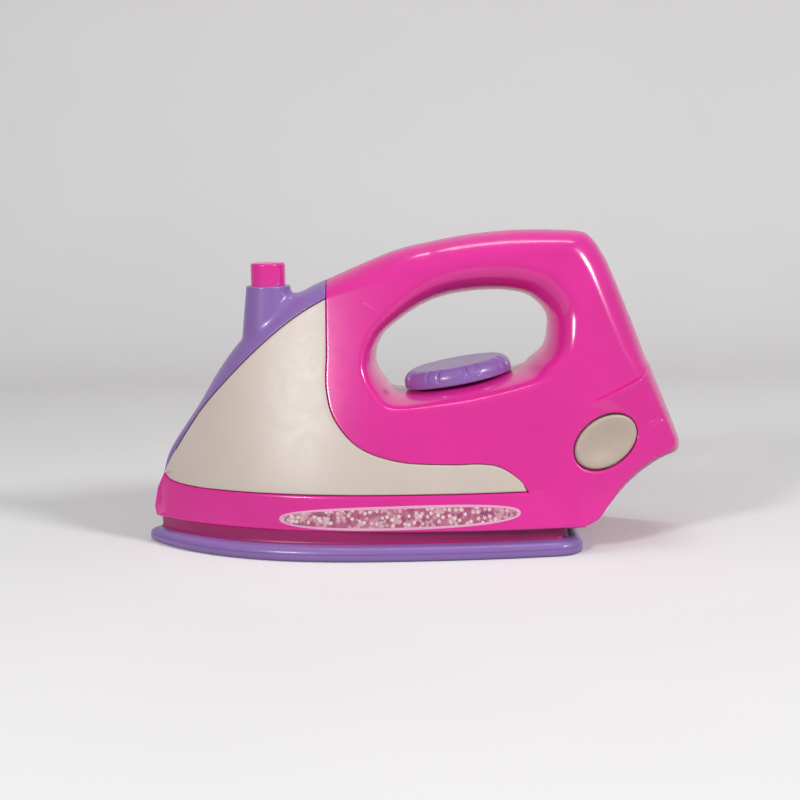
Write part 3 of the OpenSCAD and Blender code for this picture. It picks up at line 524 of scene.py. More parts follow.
def steel(name):
    """Brushed steel of the screws and springs."""
    mat, tree, bsdf = new_material(name)
    brushed = noise_of(tree, place_of(tree), Scale=900.0, Detail=4.0)
    tone = ramp_of(tree, brushed, (0.0, srgb(150, 152, 156)), (1.0, srgb(196, 198, 202)))
    fill(bsdf, Metallic=1.0, Roughness=range_of(tree, brushed, 0.25, 0.45), **{"Base Color": tone})
    return mat


pink = plastic("pink_plastic", srgb(236, 48, 160), 0.2, coat=0.3)
# The neck is the shells' pink, darkened to paint the shade under the skirt onto it
pink_painted_shade = plastic("pink_neck_painted_shade", srgb(160, 24, 100), 0.34, worn=0.06)
white = plastic("off_white_plastic", srgb(219, 206, 194), 0.36, worn=0.03, peel=0.05)
lavender = plastic("lavender_plastic", srgb(148, 112, 184), 0.28, worn=0.06, coat=0.15)
pale = plastic("pale_button_plastic", srgb(196, 178, 163), 0.34, worn=0.04)
steel_mat = steel("screw_steel")


# Pink half shells

ROLL_ROWS, FACE_ROWS, LIP_ROWS, ZONE_ROWS, OUT_ROWS = 22, 38, 4, 5, 46
LEDGE_STEP, LEDGE_BLEND, LEDGE_GROOVE = 1.1, 1.2, 0.4
SKIRT_GROOVE, SKIRT_LIP, LOW_EDGE_ROUND = 0.3, 1.1, 1.5
NOSE_ROUND, NOSE_ROWS = 6.0, 14
SEAM_HALF, SEAM_DEPTH = 0.14, 0.3
# First angle of the inner roll, off the seam, and the rounded lip along the panels
ROLL_FROM = 0.4
PANEL_LIP = 0.45
# Distance over which the tail's step fades
STEP_FADE = 15


def split_line(ray):
    """Where a column behind the panels is split: skirt line, step of the tail, then the outline."""
    phi = ray.phi
    if phi < REAR_TURN:
        return reach(SKIRT_LINE, phi)
    if phi < LEDGE_START:
        u = step(REAR_TURN, LEDGE_START, phi)
        return reach(SKIRT_LINE, REAR_TURN) * (1 - u) + reach(LEDGE_LINE, LEDGE_START + 1e-6) * u
    if phi < LEDGE_END:
        r = reach(LEDGE_LINE, phi)
        return ray.full - RIM if isnan(r) else min(ray.full - RIM, r)
    return ray.full - RIM


def towards_end(a, b, n, power=1.8):
    """n distances after a up to b, closer together near b."""
    u = np.arange(1, n + 1) / n
    return a + (b - a) * (1 - (1 - u) ** power)


def rounding(n=LIP_ROWS - 1):
    """Sine and cosine pairs of a quarter round, without its start."""
    t = np.linspace(0, pi / 2, n + 1)[1:]
    return np.sin(t), np.cos(t)


def crease(p):
    """Depth of the tail's crease at side view points."""
    along = CREASE[1] - CREASE[0]
    length = np.linalg.norm(along)
    rel = p - CREASE[0]
    u = rel @ along / length ** 2
    off = (rel[:, 0] * along[1] - rel[:, 1] * along[0]) / length
    return CREASE_DEPTH * np.exp(-(off / CREASE_HALF) ** 2) * step(-0.1, 0.4, u)


def shell_column(ray):
    """Points of one column over the outside of the left half."""
    a = np.radians(np.linspace(ROLL_FROM, 90, ROLL_ROWS))
    hole_r = ray.hole + (ray.rolled - ray.hole) * (1 - np.cos(a))
    rows = [ray.points(hole_r, share=np.sin(a))]
    sin_t, cos_t = rounding()
    if ray.front:
        near = min(ray.rear_edge, ray.full - RIM)
        face_end = near - PANEL_LIP
        rows.append(ray.points(np.linspace(ray.rolled, face_end, FACE_ROWS + 1)[1:]))
        rows.append(ray.points(face_end + PANEL_LIP * sin_t, depth=PANEL_LIP * (1 - cos_t)))
        if ray.phi < NOSE_TURN:
            end = max(near + 0.1, ray.full - COVER_INSET)
            inset = ray.full - end
            under = towards_end(near + 1.5 * HAIR, end, ZONE_ROWS + LIP_ROWS + OUT_ROWS)
            part = ray.points(np.r_[near + HAIR, under], RECESS, inset)
            part[-1, 1] = 0
            rows.append(part)
        else:
            far = max(near + 0.1, ray.ledge)
            top = min(SKIRT_LIP, (ray.full - far) / 2)
            drop = 0.75 * SKIRT_LIP
            under = np.linspace(near + HAIR, far - HAIR, ZONE_ROWS + 1)
            r = np.r_[under, far, far + top * (1 - cos_t)]
            depth = np.r_[np.full(ZONE_ROWS + 1, RECESS), drop, drop * (1 - sin_t)]
            rows.append(ray.points(r, depth, share=nose_share(ray, r)))
            rows.append(low_rows(ray, far + top))
    else:
        mid = split_line(ray)
        on_ledge = LEDGE_START < ray.phi < LEDGE_END
        lined = on_ledge or has_skirt(ray.phi)
        half = min(LEDGE_BLEND, (ray.full - mid) / 2) if lined else 0
        faint = SKIRT_GROOVE * step(REAR_TURN, TIP_TURN, ray.phi)
        rise = 0
        if on_ledge:
            rise = LEDGE_STEP * (step(LEDGE_START, LEDGE_START + 0.1, ray.phi)
                                 * step(LEDGE_END, LEDGE_END - 0.06, ray.phi))
        packed = 1 + 0.8 * step(ray.full - 16, ray.full - 1, mid)
        rows.append(ray.points(towards_end(ray.rolled, mid - half, FACE_ROWS, packed)))
        blend = np.linspace(-1, 1, ZONE_ROWS + 2 * LIP_ROWS)
        groove = np.exp(-((blend + 0.3) / 0.28) ** 2)
        sunk = rise * (LEDGE_GROOVE * groove - step(-0.15, 0.6, blend)) + faint * groove
        rows.append(ray.points(mid + half * blend, sunk))
        if has_skirt(ray.phi):
            rows.append(low_rows(ray, mid + half))
        else:
            r = np.append(towards_end(mid + half, ray.full, OUT_ROWS - 1), ray.full - SEAM_DEPTH)
            part = ray.points(r, crease(ray.at(r)) - rise * np.exp(-(r - mid) / STEP_FADE))
            part[-2:, 1] = -SEAM_HALF, 0
            rows.append(part)
    return np.vstack(rows)


def nose_share(ray, r):
    """Part of the half width left where the nose rounds off to the middle."""
    if not NOSE_TURN < ray.phi < SKIRT_TURN:
        return 1.0
    t = np.clip((r - ray.full + NOSE_ROUND) / NOSE_ROUND, 0, 1)
    return np.sqrt(1 - t * t)


def nose_rows(ray, start):
    """Distances from a start to the outline, spread evenly around the nose's rounding."""
    bow = ray.full - NOSE_ROUND
    first = asin(min(1, max(0, (start - bow) / NOSE_ROUND)))
    flat = np.linspace(start, max(start, bow), OUT_ROWS - NOSE_ROWS + 1)[1:]
    turns = np.linspace(first, pi / 2, NOSE_ROWS + 1)[1:]
    return np.r_[flat, bow + NOSE_ROUND * np.sin(turns)]


def low_rows(ray, start):
    """Rows of the skirt down to its lower edge, or round the nose to the middle."""
    if ray.phi < SKIRT_TURN:
        r = nose_rows(ray, start)
        part = ray.points(r, share=nose_share(ray, r))
        part[-1, 1] = 0
        return part
    r = towards_end(start, ray.full, OUT_ROWS, 1.5)
    t = np.clip((r - ray.full + LOW_EDGE_ROUND) / LOW_EDGE_ROUND, 0, 1)
    return ray.points(r, depth=LOW_EDGE_ROUND * (1 - np.sqrt(1 - t * t)))


def inner_column(ray):
    """Points of one column over the inside of the left half."""
    edge = ray.hole + WALL
    rolled = max(edge + 1, ray.rolled + 0.3 * WALL)
    skirted = has_skirt(ray.phi)
    cover = ray.front and not skirted
    out = ray.full if skirted else ray.full - WALL - (COVER_INSET if cover else 0)
    deep = WALL + (RECESS if ray.front else 0)
    mid = (rolled + out) / 2
    if ray.front:
        mid = min(out - 2.4 * WALL, max(rolled + RIM, ray.rear_edge - 2.5 * WALL))
    bow = max(mid + 2 * WALL, ray.ledge if skirted else min(ray.shoulder, out - WALL))
    bow = min(bow, out - 0.6)
    a = np.radians([0, 30, 60, 90])
    rows = [ray.points(edge + (rolled - edge) * (1 - np.cos(a)), WALL, share=np.sin(a)),
            ray.points(np.array([(rolled + mid) / 2, mid]), WALL),
            ray.points(np.array([mid + 1.5 * WALL, bow]), deep, ray.full - out)]
    end = bow + (out - bow) * np.array([0.38, 0.71, 0.92, 1])
    part = ray.points(end, WALL if skirted else deep, ray.full - out)
    if not SKIRT_TURN < ray.phi < REAR_TURN:
        part[-1, 1] = 0
    rows.append(part)
    return np.vstack(rows)


def surface_y(x, z):
    """Y of the left half's outside at a side view point."""
    p = np.array([x, z])
    ray = Ray(turn_of(p))
    return float(ray.y(np.array([np.linalg.norm(p - HUB)]))[0])


shell_turns = np.r_[
    spread(FIRST, NOSE_TURN, 120), spread(NOSE_TURN, SKIRT_TURN, 30),
    spread(SKIRT_TURN, TIP_TURN, 220, 1.2), spread(TIP_TURN, REAR_TURN, 24),
    spread(REAR_TURN, LEDGE_START, 70), spread(LEDGE_START, LEDGE_END, 90), spread(LEDGE_END, LAST, 240)]
shell_rays = [Ray(phi) for phi in shell_turns]
shell = closed_skin(*zip(*[(shell_column(ray), inner_column(ray)) for ray in shell_rays]), True)


# Off-white side panels

PANEL_T = 1.8
PANEL_ROUND = 0.65
PANEL_ROWS = 40
# How far the panel's pointed ends stay off the corners of its recess, in degrees
PANEL_OFF = 0.5


def panel_column(ray):
    """Outer and inner points of one column of the left panel."""
    a = ray.rear_edge + GAP
    b = ray.ledge - GAP / abs(sin(ray.phi))
    if ray.phi < NOSE_TURN:
        b = reach(TOP_LINE, ray.phi) - 0.05
    edge = min(PANEL_ROUND, (b - a) / 3)
    sin_t, cos_t = rounding(5)
    face = np.linspace(a + edge, b - edge, PANEL_ROWS + 2)[1:-1]
    r = np.r_[a, a, a + edge * (1 - cos_t), face, b - edge * (1 - cos_t[::-1]), b, b]
    depth = np.r_[PANEL_T, edge, edge * (1 - sin_t), np.zeros(PANEL_ROWS),
                  edge * (1 - sin_t[::-1]), edge, PANEL_T]
    low = np.linspace(a, b, 8)
    return ray.points(r, depth, share=nose_share(ray, r)), ray.points(low, PANEL_T)


panel_turns = np.r_[spread(CORNER_TURN + rad(PANEL_OFF), NOSE_TURN, 90), spread(NOSE_TURN, SKIRT_TURN, 16),
                    spread(SKIRT_TURN, TIP_TURN - rad(PANEL_OFF), 200)]
panel_cols = [panel_column(Ray(phi)) for phi in panel_turns]
panel = closed_skin(*zip(*panel_cols), False)


# Lavender cover with its turret

COVER_T = 1.9
COVER_ROUND = 0.5
COVER_ROWS = 46
TURRET_X = -55.5
TURRET_TOP, TURRET_R, TURRET_FLARE = 101.2, 8.7, 2.4 / 22.2
TURRET_LIP, TURRET_EDGE, BORE_EDGE = 1.6, 0.7, 0.25
SPRAY_BORE, SPRAY_ROOM = 6.88, 7.75
# Lower end of the turret's own wall, and the ends of the cut through the cover
TURRET_FOOT = 88.0
WELL_LOW, WELL_HIGH = 60, 130
# Height from which the cover is looked at
SKY_Z = 200
# Least fillet at the turret's foot, and how much wider and higher it is behind and at the sides
FILLET = 0.8
FILLET_REAR = (7.2, 5)
FILLET_SIDE = (1.6, 2.2)


def cover_column(ray):
    """Outer and inner points of one column of the cover, from its left edge to its right one."""
    a = max(reach(TOP_LINE, ray.phi) + COVER_GAP - 0.08, (RING_X - GAP - HUB[0]) / ray.d[0])
    a = min(a, ray.full - 0.15)
    edge = min(COVER_ROUND, (ray.full - a) / 4)
    sin_t, cos_t = rounding(4)
    r = np.r_[a, a, a + edge * (1 - cos_t), towards_end(a + edge, ray.full, COVER_ROWS)]
    depth = np.r_[COVER_T, edge, edge * (1 - sin_t), np.zeros(COVER_ROWS)]
    left = ray.points(r, depth)
    left[-1, 1] = 0
    end = max(a + 0.05, ray.full - COVER_T)
    low = ray.points(np.r_[a, towards_end(a, end, 12)], COVER_T, ray.full - end)
    low[-1, 1] = 0
    return np.vstack([left, left[-2::-1] * FLIP_Y]), np.vstack([low, low[-2::-1] * FLIP_Y])


cover_cols = [cover_column(Ray(phi)) for phi in spread(FIRST + rad(0.15), NOSE_TURN, 130)]
cover = closed_skin(*zip(*cover_cols), False)


def tree_of(verts, faces):
    return BVHTree.FromPolygons([tuple(v) for v in verts], [tuple(f) for f in faces])


cover_tree = tree_of(*cover)


def cover_z(x, y):
    """Height of the cover's outside over a point in plan."""
    hit = cover_tree.ray_cast(Vector((x, y, SKY_Z)), Vector((0, 0, -1)))[0]
    return hit.z if hit else nan


def turret_r(z):
    return TURRET_R + (TURRET_TOP - z) * TURRET_FLARE


def turret_column(angle):
    """Closed profile of the turret at one angle: bore, rim, and a fillet down into the cover."""
    c, s = cos(angle), sin(angle)
    foot = next(z for z in np.arange(TURRET_TOP - 0.5, 70, -0.05)
                if cover_z(TURRET_X + turret_r(z) * c, turret_r(z) * s) >= z)
    rear = max(0.0, c) ** 2
    out, up = (FILLET + a * rear + b * abs(s) for a, b in zip(FILLET_REAR, FILLET_SIDE))
    top = foot + min(TURRET_TOP - TURRET_LIP - foot, up)
    far = turret_r(foot) + out
    end_z = cover_z(TURRET_X + far * c, far * s)
    a = np.array([turret_r(top), top])
    b = np.array([turret_r(foot), foot])
    d = np.array([far, end_z - 0.02])
    t = np.linspace(0, 1, 14)[:, None]
    fillet = a * (1 - t) ** 2 + 2 * b * t * (1 - t) + d * t ** 2
    rim = arc(TURRET_R + 0.08 - TURRET_EDGE, TURRET_TOP - TURRET_EDGE, TURRET_EDGE, 90, 5, 6)
    lip = arc(SPRAY_BORE + BORE_EDGE, TURRET_TOP - BORE_EDGE, BORE_EDGE, 180, 90, 4)
    cone = [(turret_r(z), z) for z in np.linspace(TURRET_TOP - TURRET_EDGE - 0.2, top, 8)[:-1]]
    under = TURRET_TOP - TURRET_LIP
    inside = [(SPRAY_ROOM, TURRET_FOOT), (SPRAY_ROOM, under), (SPRAY_BORE, under)]
    sunk = end_z - 1.2
    hidden = [(far - 0.4, sunk), (SPRAY_ROOM + 1, min(TURRET_FOOT, sunk))]
    prof = np.vstack([inside + lip + rim + cone, fillet, hidden, inside[:1]])
    return np.column_stack([TURRET_X + prof[:, 0] * c, prof[:, 0] * s, prof[:, 1]])


turret = ring_skin([turret_column(a) for a in around_of(120)])
well = lathe([(0, WELL_LOW), (SPRAY_ROOM, WELL_LOW), (SPRAY_ROOM, WELL_HIGH), (0, WELL_HIGH)], 64)
cover = cut(*cover, [shifted(well, TURRET_X, 0, 0)])


# Round and oval pieces

SPRAY_TOP, SPRAY_EDGE = 110.2, 1.1
SPRAY_R, SPRAY_LOW = 6.8, 98
SPRAY_FLANGE_R, SPRAY_FLANGE_TOP = 7.5, 99.4
SPRAY_HOLLOW_R, SPRAY_ROOF = 4.5, 2.4
# Shallow dish of the button's top: radius and how far it lies under the rim
SPRAY_DISH = [(4.8, 0.04), (3.2, 0.18), (1.5, 0.28), (0, 0.3)]
spray = lathe(
    [(0, SPRAY_TOP - SPRAY_ROOF), (SPRAY_HOLLOW_R, SPRAY_TOP - SPRAY_ROOF), (SPRAY_HOLLOW_R, SPRAY_LOW),
     (SPRAY_FLANGE_R, SPRAY_LOW), (SPRAY_FLANGE_R, SPRAY_FLANGE_TOP), (SPRAY_R, SPRAY_FLANGE_TOP),
     (SPRAY_R, SPRAY_TOP - SPRAY_EDGE - 0.1)]
    + arc(SPRAY_R - SPRAY_EDGE, SPRAY_TOP - SPRAY_EDGE, SPRAY_EDGE, 5, 90, 8)
    + [(r, SPRAY_TOP - drop) for r, drop in SPRAY_DISH], 128)
spray = shifted(spray, TURRET_X, 0, 0)

DIAL_R, DIAL_H, DIAL_LIFT, DIAL_SHOULDER = 21.3, 6.6, 0.3, 4.5
DIAL_X = HUB[0] + 1.2
DIAL_FOOT_R, DIAL_LOW_EDGE = 14, 0.8
DIAL_COLUMNS = 720
SHAFT_R, SHAFT_L = 3.9, 7.5
NOTCH_PAIRS, NOTCH_APART, NOTCH_TURN = 8, 14.0, 15.0
NOTCH_R, NOTCH_OUT = 1.1, 0.4


def notch(angle):
    """Depth of the grip notches at an angle around the dial."""
    deg = degrees(angle) + 90 - NOTCH_TURN
    best = 0.0
    for s in (-0.5, 0.5):
        off = (deg - s * NOTCH_APART + 180 / NOTCH_PAIRS) % (360 / NOTCH_PAIRS) - 180 / NOTCH_PAIRS
        across = rad(off) * DIAL_R
        best = max(best, sqrt(max(0, NOTCH_R ** 2 - across ** 2)) - NOTCH_OUT)
    return best


# Rows of the dial: radius, height, the way its surface looks, and how much a notch bites there
dial_rows = [(0, 0, 0, -1, 0), (DIAL_FOOT_R, 0, 0, -1, 0)]
for a in np.radians(np.linspace(-90, 0, 6)):
    c, s = cos(a), sin(a)
    dial_rows.append((DIAL_R - DIAL_LOW_EDGE + DIAL_LOW_EDGE * c, DIAL_LOW_EDGE + DIAL_LOW_EDGE * s,
                      c, s, 0))
for a in np.radians(np.linspace(0, 90, 25)):
    c, s = cos(a), sin(a)
    bite = step(0, rad(16), a) * step(rad(86), rad(68), a)
    dial_rows.append((DIAL_R - DIAL_SHOULDER * (1 - c), DIAL_H - DIAL_SHOULDER * (1 - s), c, s, bite))
for r, crown in ((DIAL_R - 7, 0.02), (DIAL_R - 12, 0.06), (0, 0.1)):
    dial_rows.append((r, DIAL_H + crown, 0, 1, 0))
dial_rows = np.array(dial_rows)
dial_cols = []
for angle in around_of(DIAL_COLUMNS):
    bite = notch(angle) * dial_rows[:, 4]
    r = dial_rows[:, 0] - bite * dial_rows[:, 2]
    z = dial_rows[:, 1] - bite * dial_rows[:, 3] + DIAL_LIFT
    dial_cols.append(np.column_stack([r * cos(angle), r * sin(angle), z]))
dial = ring_skin(dial_cols)
shaft_top = DIAL_LIFT + 0.2
shaft = lathe([(0, -SHAFT_L), (SHAFT_R, -SHAFT_L), (SHAFT_R, shaft_top), (0, shaft_top)], 48)
dial_place = Matrix.Translation((DIAL_X, 0, seat_at(DIAL_X))) @ Matrix.Rotation(-DIAL_TILT, 4, "Y")

OVAL_P = np.array([74, -28.633, 40.9])
OVAL_W = np.array([0.257748, -0.949445, 0.17922])
OVAL_U = np.array([0.826897, 0.312706, 0.467394])
OVAL_V = np.array([-0.499808, 0.0277264, 0.865692])
OVAL_A, OVAL_B = 13.6, 9.0
OVAL_PROUD, OVAL_DISH, OVAL_EDGE = 1.0, 0.8, 1.0
OVAL_FLANGE, OVAL_FLANGE_LOW, OVAL_FLANGE_TOP = 1.4, -4.4, -3.2
OVAL_POINTS = 160


def oval_ring(grow, w):
    """An oval around the button's axis, wider by a size and at a height along it."""
    t = around_of(OVAL_POINTS)
    u, v = (OVAL_A + grow) * np.cos(t), (OVAL_B + grow) * np.sin(t)
    return OVAL_P + np.outer(u, OVAL_U) + np.outer(v, OVAL_V) + w * OVAL_W


def ring_stack(rings):
    """A closed solid through rings with the same number of points, capped flat at both ends."""
    n, m = len(rings[0]), len(rings)
    verts = np.vstack([[ring[i] for ring in rings] for i in range(n)])
    faces = grid_faces(n, m, ring=True)
    faces.append([i * m for i in range(n - 1, -1, -1)])
    faces.append([i * m + m - 1 for i in range(n)])
    return outward(verts, faces)


oval_rows = [oval_ring(OVAL_FLANGE, OVAL_FLANGE_LOW), oval_ring(OVAL_FLANGE, OVAL_FLANGE_TOP),
             oval_ring(0, OVAL_FLANGE_TOP), oval_ring(0, 0)]
for t in np.radians(np.linspace(0, 90, 8)):
    oval_rows.append(oval_ring(-OVAL_EDGE * (1 - cos(t)), OVAL_PROUD - OVAL_EDGE * (1 - sin(t))))
for u in (0.97, 0.93, 0.88, 0.8, 0.7, 0.55, 0.4, 0.25, 0.1):
    ring = oval_ring(-OVAL_EDGE, OVAL_PROUD - OVAL_DISH * step(1.02, 0.2, u))
    axis = OVAL_P + OVAL_W * float(np.mean((ring - OVAL_P) @ OVAL_W))
    oval_rows.append(axis + (ring - axis) * u)
oval = ring_stack(oval_rows)


# How far over the surface a cutter starts
MOUTH_OVER = 12


def mouth(origin, u, v, w, a, b, tree, rows, deep, n):
    """A cutter whose rim follows the surface that it enters.

    Each row says how much wider it is and how far it lies under the surface.
    """
    t = around_of(n)
    rings = []
    for grow, under in [(rows[0][0], None)] + rows + [(rows[-1][0], deep)]:
        ring = origin + np.outer((a + grow) * np.cos(t), u) + np.outer((b + grow) * np.sin(t), v)
        for i, p in enumerate(ring):
            if under is None:
                ring[i] = p + w * MOUTH_OVER
            elif under is deep:
                ring[i] = p - w * deep
            else:
                hit = tree.ray_cast(Vector(p + w * MOUTH_OVER), Vector(-w))[0]
                ring[i] = np.array(hit) - w * under
        rings.append(ring)
    return ring_stack(rings)


# Holes of the shells

right_shell = mirrored(*shell)
shell_tree, right_tree = tree_of(*shell), tree_of(*right_shell)
X_AXIS, Y_AXIS, Z_AXIS = np.eye(3)
OVAL_MOUTH = [(2.0, -0.2), (1.3, 0.04), (0.9, 0.22), (0.65, 0.5), (0.55, 1.0)]
SCREW_MOUTH = [(0.7, -0.1), (0.4, 0.03), (0.2, 0.15), (0.08, 0.5)]
SCREW_POINTS = [(-72, 44), (-38.5, 84), (22, 42), (66.5, 107.5), (58, 24.5), (83, 64)]
# The first two lie under the panel
SEEN_SCREWS = SCREW_POINTS[2:]
SCREW_SEAT = 5.0
OVAL_DEEP = 8.0
BORE_R, WELL_R = 3.2, 4.4
WELL_UNDER, WELL_BELOW = 0.9, 1.5
SCREW_Y = 30.0

oval_cut = mouth(OVAL_P, OVAL_U, OVAL_V, OVAL_W, OVAL_A, OVAL_B, shell_tree, OVAL_MOUTH, OVAL_DEEP,
                 OVAL_POINTS)
screw_cuts = []
wells = []
for x, z in SEEN_SCREWS:
    top = np.array([x, SCREW_Y, z])
    screw_cuts.append(mouth(top, X_AXIS, -Z_AXIS, Y_AXIS, BORE_R, BORE_R, right_tree, SCREW_MOUTH,
                            SCREW_Y - SCREW_SEAT, 64))
    around = [surface_y(x + WELL_R * cos(t), z + WELL_R * sin(t))
              for t in np.linspace(0, 2 * pi, 24)]
    end = -max(around) - WELL_UNDER
    low = SCREW_SEAT - WELL_BELOW
    r, h = np.array([(BORE_R, low), (WELL_R, low), (WELL_R, end), (BORE_R, end), (BORE_R, low)]).T
    cols = [np.column_stack([r * cos(t), h, r * sin(t)]) for t in around_of(48)]
    wells.append(shifted(ring_skin(cols), x, 0, z))
shell = cut(*shell, [oval_cut])
right_shell = cut(*right_shell, [mirrored(*oval_cut)] + screw_cuts)


def together(parts):
    """Several meshes as one list of points and faces."""
    verts, faces, at = [], [], 0
    for v, f in parts:
        verts.append(np.asarray(v))
        faces += [[at + i for i in q] for q in f]
        at += len(v)
    return np.vstack(verts), faces


# Sole and the neck above it

SOLE_POWER, SOLE_DRAW = 2.85, 0.0013
PLAN_POINTS = 180


def plan_ring(nose, rear, half, corner):
    """Plan outline pointed at the nose, square with round corners at the rear, as (x, y) points."""
    x = nose + (rear - nose) * (1 - np.cos(np.linspace(0, pi, PLAN_POINTS))) / 2
    y = plan(x, nose, 0, half, SOLE_POWER, SOLE_DRAW)
    at = plan(rear - corner, nose, 0, half, SOLE_POWER, SOLE_DRAW) - corner
    round_y = at + np.sqrt(np.maximum(0, corner ** 2 - np.maximum(0, x - rear + corner) ** 2))
    y = np.where(x > rear - corner, np.minimum(y, round_y), y)
    left = np.column_stack([x, -y])
    right = np.column_stack([x, y])[:0:-1]
    across = np.linspace(left[-1], right[0], 12)[1:-1]
    return np.vstack([left, across, right])


def plan_stack(ring_at, rows):
    """A closed solid of plan outlines, each row (inset, height)."""
    rings = []
    for inset, z in rows:
        ring = ring_at(inset)
        rings.append(np.column_stack([ring, np.full(len(ring), z)]))
    return ring_stack(rings)


SOLE_REAR, SOLE_HALF, SOLE_CORNER = 64.4, 48.4, 12
NECK_X, NECK_REAR, NECK_HALF, NECK_CORNER = NOSE_X + 5, 58.5, 41.4, 5
POSTS = [(-62.0, 17.0), (46.0, 27.0)]
POST_POINTS = [(x, side * y) for x, y in POSTS for side in (-1, 1)]
POCKET_SEAT = 3.0
# Profiles as (inset, height): the sole with its fine groove, and the neck
SOLE_ROWS = [(7, 0), (1.4, 0), (0.75, 0.1), (0.3, 0.35), (0.06, 0.8), (0, 1.2), (0, 2.5), (0.03, 2.62),
             (0.16, 2.7), (0.2, 2.78), (0.08, 2.86), (0.02, 3.0), (0.1, 3.5), (0.35, 4.05), (0.8, 4.6),
             (1.5, 5.05), (2.4, 5.34), (3.4, 5.47), (4.4, 5.5), (9, 5.5)]
NECK_ROWS = [(6, 5.45), (-0.6, 5.45), (-0.3, 5.7), (-0.08, 6.1), (0, 6.6), (0, 10.2), (1, 10.6), (4, 10.6)]


def sole_ring(inset):
    return plan_ring(NOSE_X + 1.5 * inset, SOLE_REAR - inset, SOLE_HALF - inset, SOLE_CORNER - inset)


def neck_ring(inset):
    return plan_ring(NECK_X + 1.3 * inset, NECK_REAR - inset, NECK_HALF - inset, max(1, NECK_CORNER - inset))


pocket = lathe([(0, -1), (4.6, -1), (3.75, 0), (3.35, 0.15), (BORE_R, 0.5), (BORE_R, POCKET_SEAT),
                (0, POCKET_SEAT)], 48)
sole = cut(*plan_stack(sole_ring, SOLE_ROWS), [shifted(pocket, x, y, 0) for x, y in POST_POINTS])
neck = plan_stack(neck_ring, NECK_ROWS)


# Stickers

STICK_X, STICK_Z, STICK_SLOPE, STICK_L, STICK_H = -5.6, 15.6, 0.022, 91.6, 8.8
STICK_POWER = 2.5
STICK_BORDER = 0.95
STICK_POINTS = 320


def sticker_ring(inset, share, off):
    """An oval on the skirt, drawn in by an inset and a share, and lifted off it."""
    t = around_of(STICK_POINTS)
    c, s = np.cos(t), np.sin(t)
    x = (STICK_L / 2 - inset) * share * np.sign(c) * np.abs(c) ** (2 / STICK_POWER)
    z = (STICK_H / 2 - inset) * share * np.sign(s) * np.abs(s) ** (2 / STICK_POWER)
    z = z + STICK_Z + STICK_SLOPE * x
    x = x + STICK_X
    return np.column_stack([x, -half_w(x, z) - off, z])


def sticker():
    """Points, faces without the back, and which faces are printed inside the border."""
    rings = [sticker_ring(0, 1, -0.3), sticker_ring(0, 1, 0.04), sticker_ring(0.06, 1, 0.1),
             sticker_ring(STICK_BORDER, 1, 0.11)]
    rings += [sticker_ring(STICK_BORDER, u, 0.11) for u in np.linspace(1, 0, 14)[1:-1]]
    verts, faces = ring_stack(rings)
    del faces[-2]
    return verts, faces, [int(q % (len(rings) - 1) >= 3) for q in range(len(faces) - 1)] + [1]


# Screws

SCREW_L = 16
THREAD_STEP, THREAD_TOP, THREAD_ROOT = 0.45, 1.5, 1.22
HEAD = [(0, 0), (2.75, 0), (2.8, 0.25), (2.75, 0.8), (2.5, 1.5), (2.0, 1.95), (1.2, 2.15), (0, 2.2)]


def screw_mesh():
    """A pan head screw along z, its head's underside at 0 and its cross recess on top."""
    bars = []
    for a, b in ((0.42, 1.75), (1.75, 0.42)):
        corners = ((-a, -b), (a, -b), (a, b), (-a, b))
        low = np.array([(x * 0.8, y * 0.5, 1.0) for x, y in corners])
        high = np.array([(x, y, 2.6) for x, y in corners])
        bars.append(ring_stack([low, high]))
    thread = [(THREAD_TOP if k % 2 else THREAD_ROOT, -SCREW_L + 1 + THREAD_STEP * k)
              for k in range(int((SCREW_L - 2) / THREAD_STEP))]
    shank = lathe([(0, -SCREW_L), (1.1, -SCREW_L + 0.4)] + thread
                  + [(1.3, -0.6), (1.3, 0.05), (0, 0.05)], 24)
    return together([cut(*lathe(HEAD, 40), bars), shank])


# Print of the stickers

PETALS, PETAL_SHARE = 5.0, 0.26


def blossoms(tree, place, under, scale, size, *colours):
    """Lays scattered blossoms over a colour."""
    cells = node_of(tree, "TexVoronoi", voronoi_dimensions="2D", Scale=scale, Randomness=0.85, Vector=place)
    local = node_of(tree, "VectorMath", operation="SUBTRACT")
    tree.links.new(place, local.inputs[0])
    tree.links.new(cells.outputs["Position"], local.inputs[1])
    split = node_of(tree, "SeparateXYZ", Vector=local.outputs["Vector"]).outputs
    pick = node_of(tree, "SeparateColor", Color=cells.outputs["Color"]).outputs
    turn = math_of(tree, "MULTIPLY", math_of(tree, "ARCTAN2", split["Y"], split["X"]), PETALS)
    turn = math_of(tree, "ADD", turn, math_of(tree, "MULTIPLY", pick["Green"], 6.0))
    wave = math_of(tree, "MULTIPLY", math_of(tree, "COSINE", turn), PETAL_SHARE * size)
    inside = math_of(tree, "SUBTRACT", math_of(tree, "ADD", wave, size), cells.outputs["Distance"])
    mask = ramp_of(tree, inside, (0.0, (0, 0, 0, 1)), (0.05, (1, 1, 1, 1)))
    tone = ramp_of(tree, pick["Red"], *colours)
    return node_of(tree, "MixRGB", Fac=mask, Color1=under, Color2=tone).outputs["Color"]


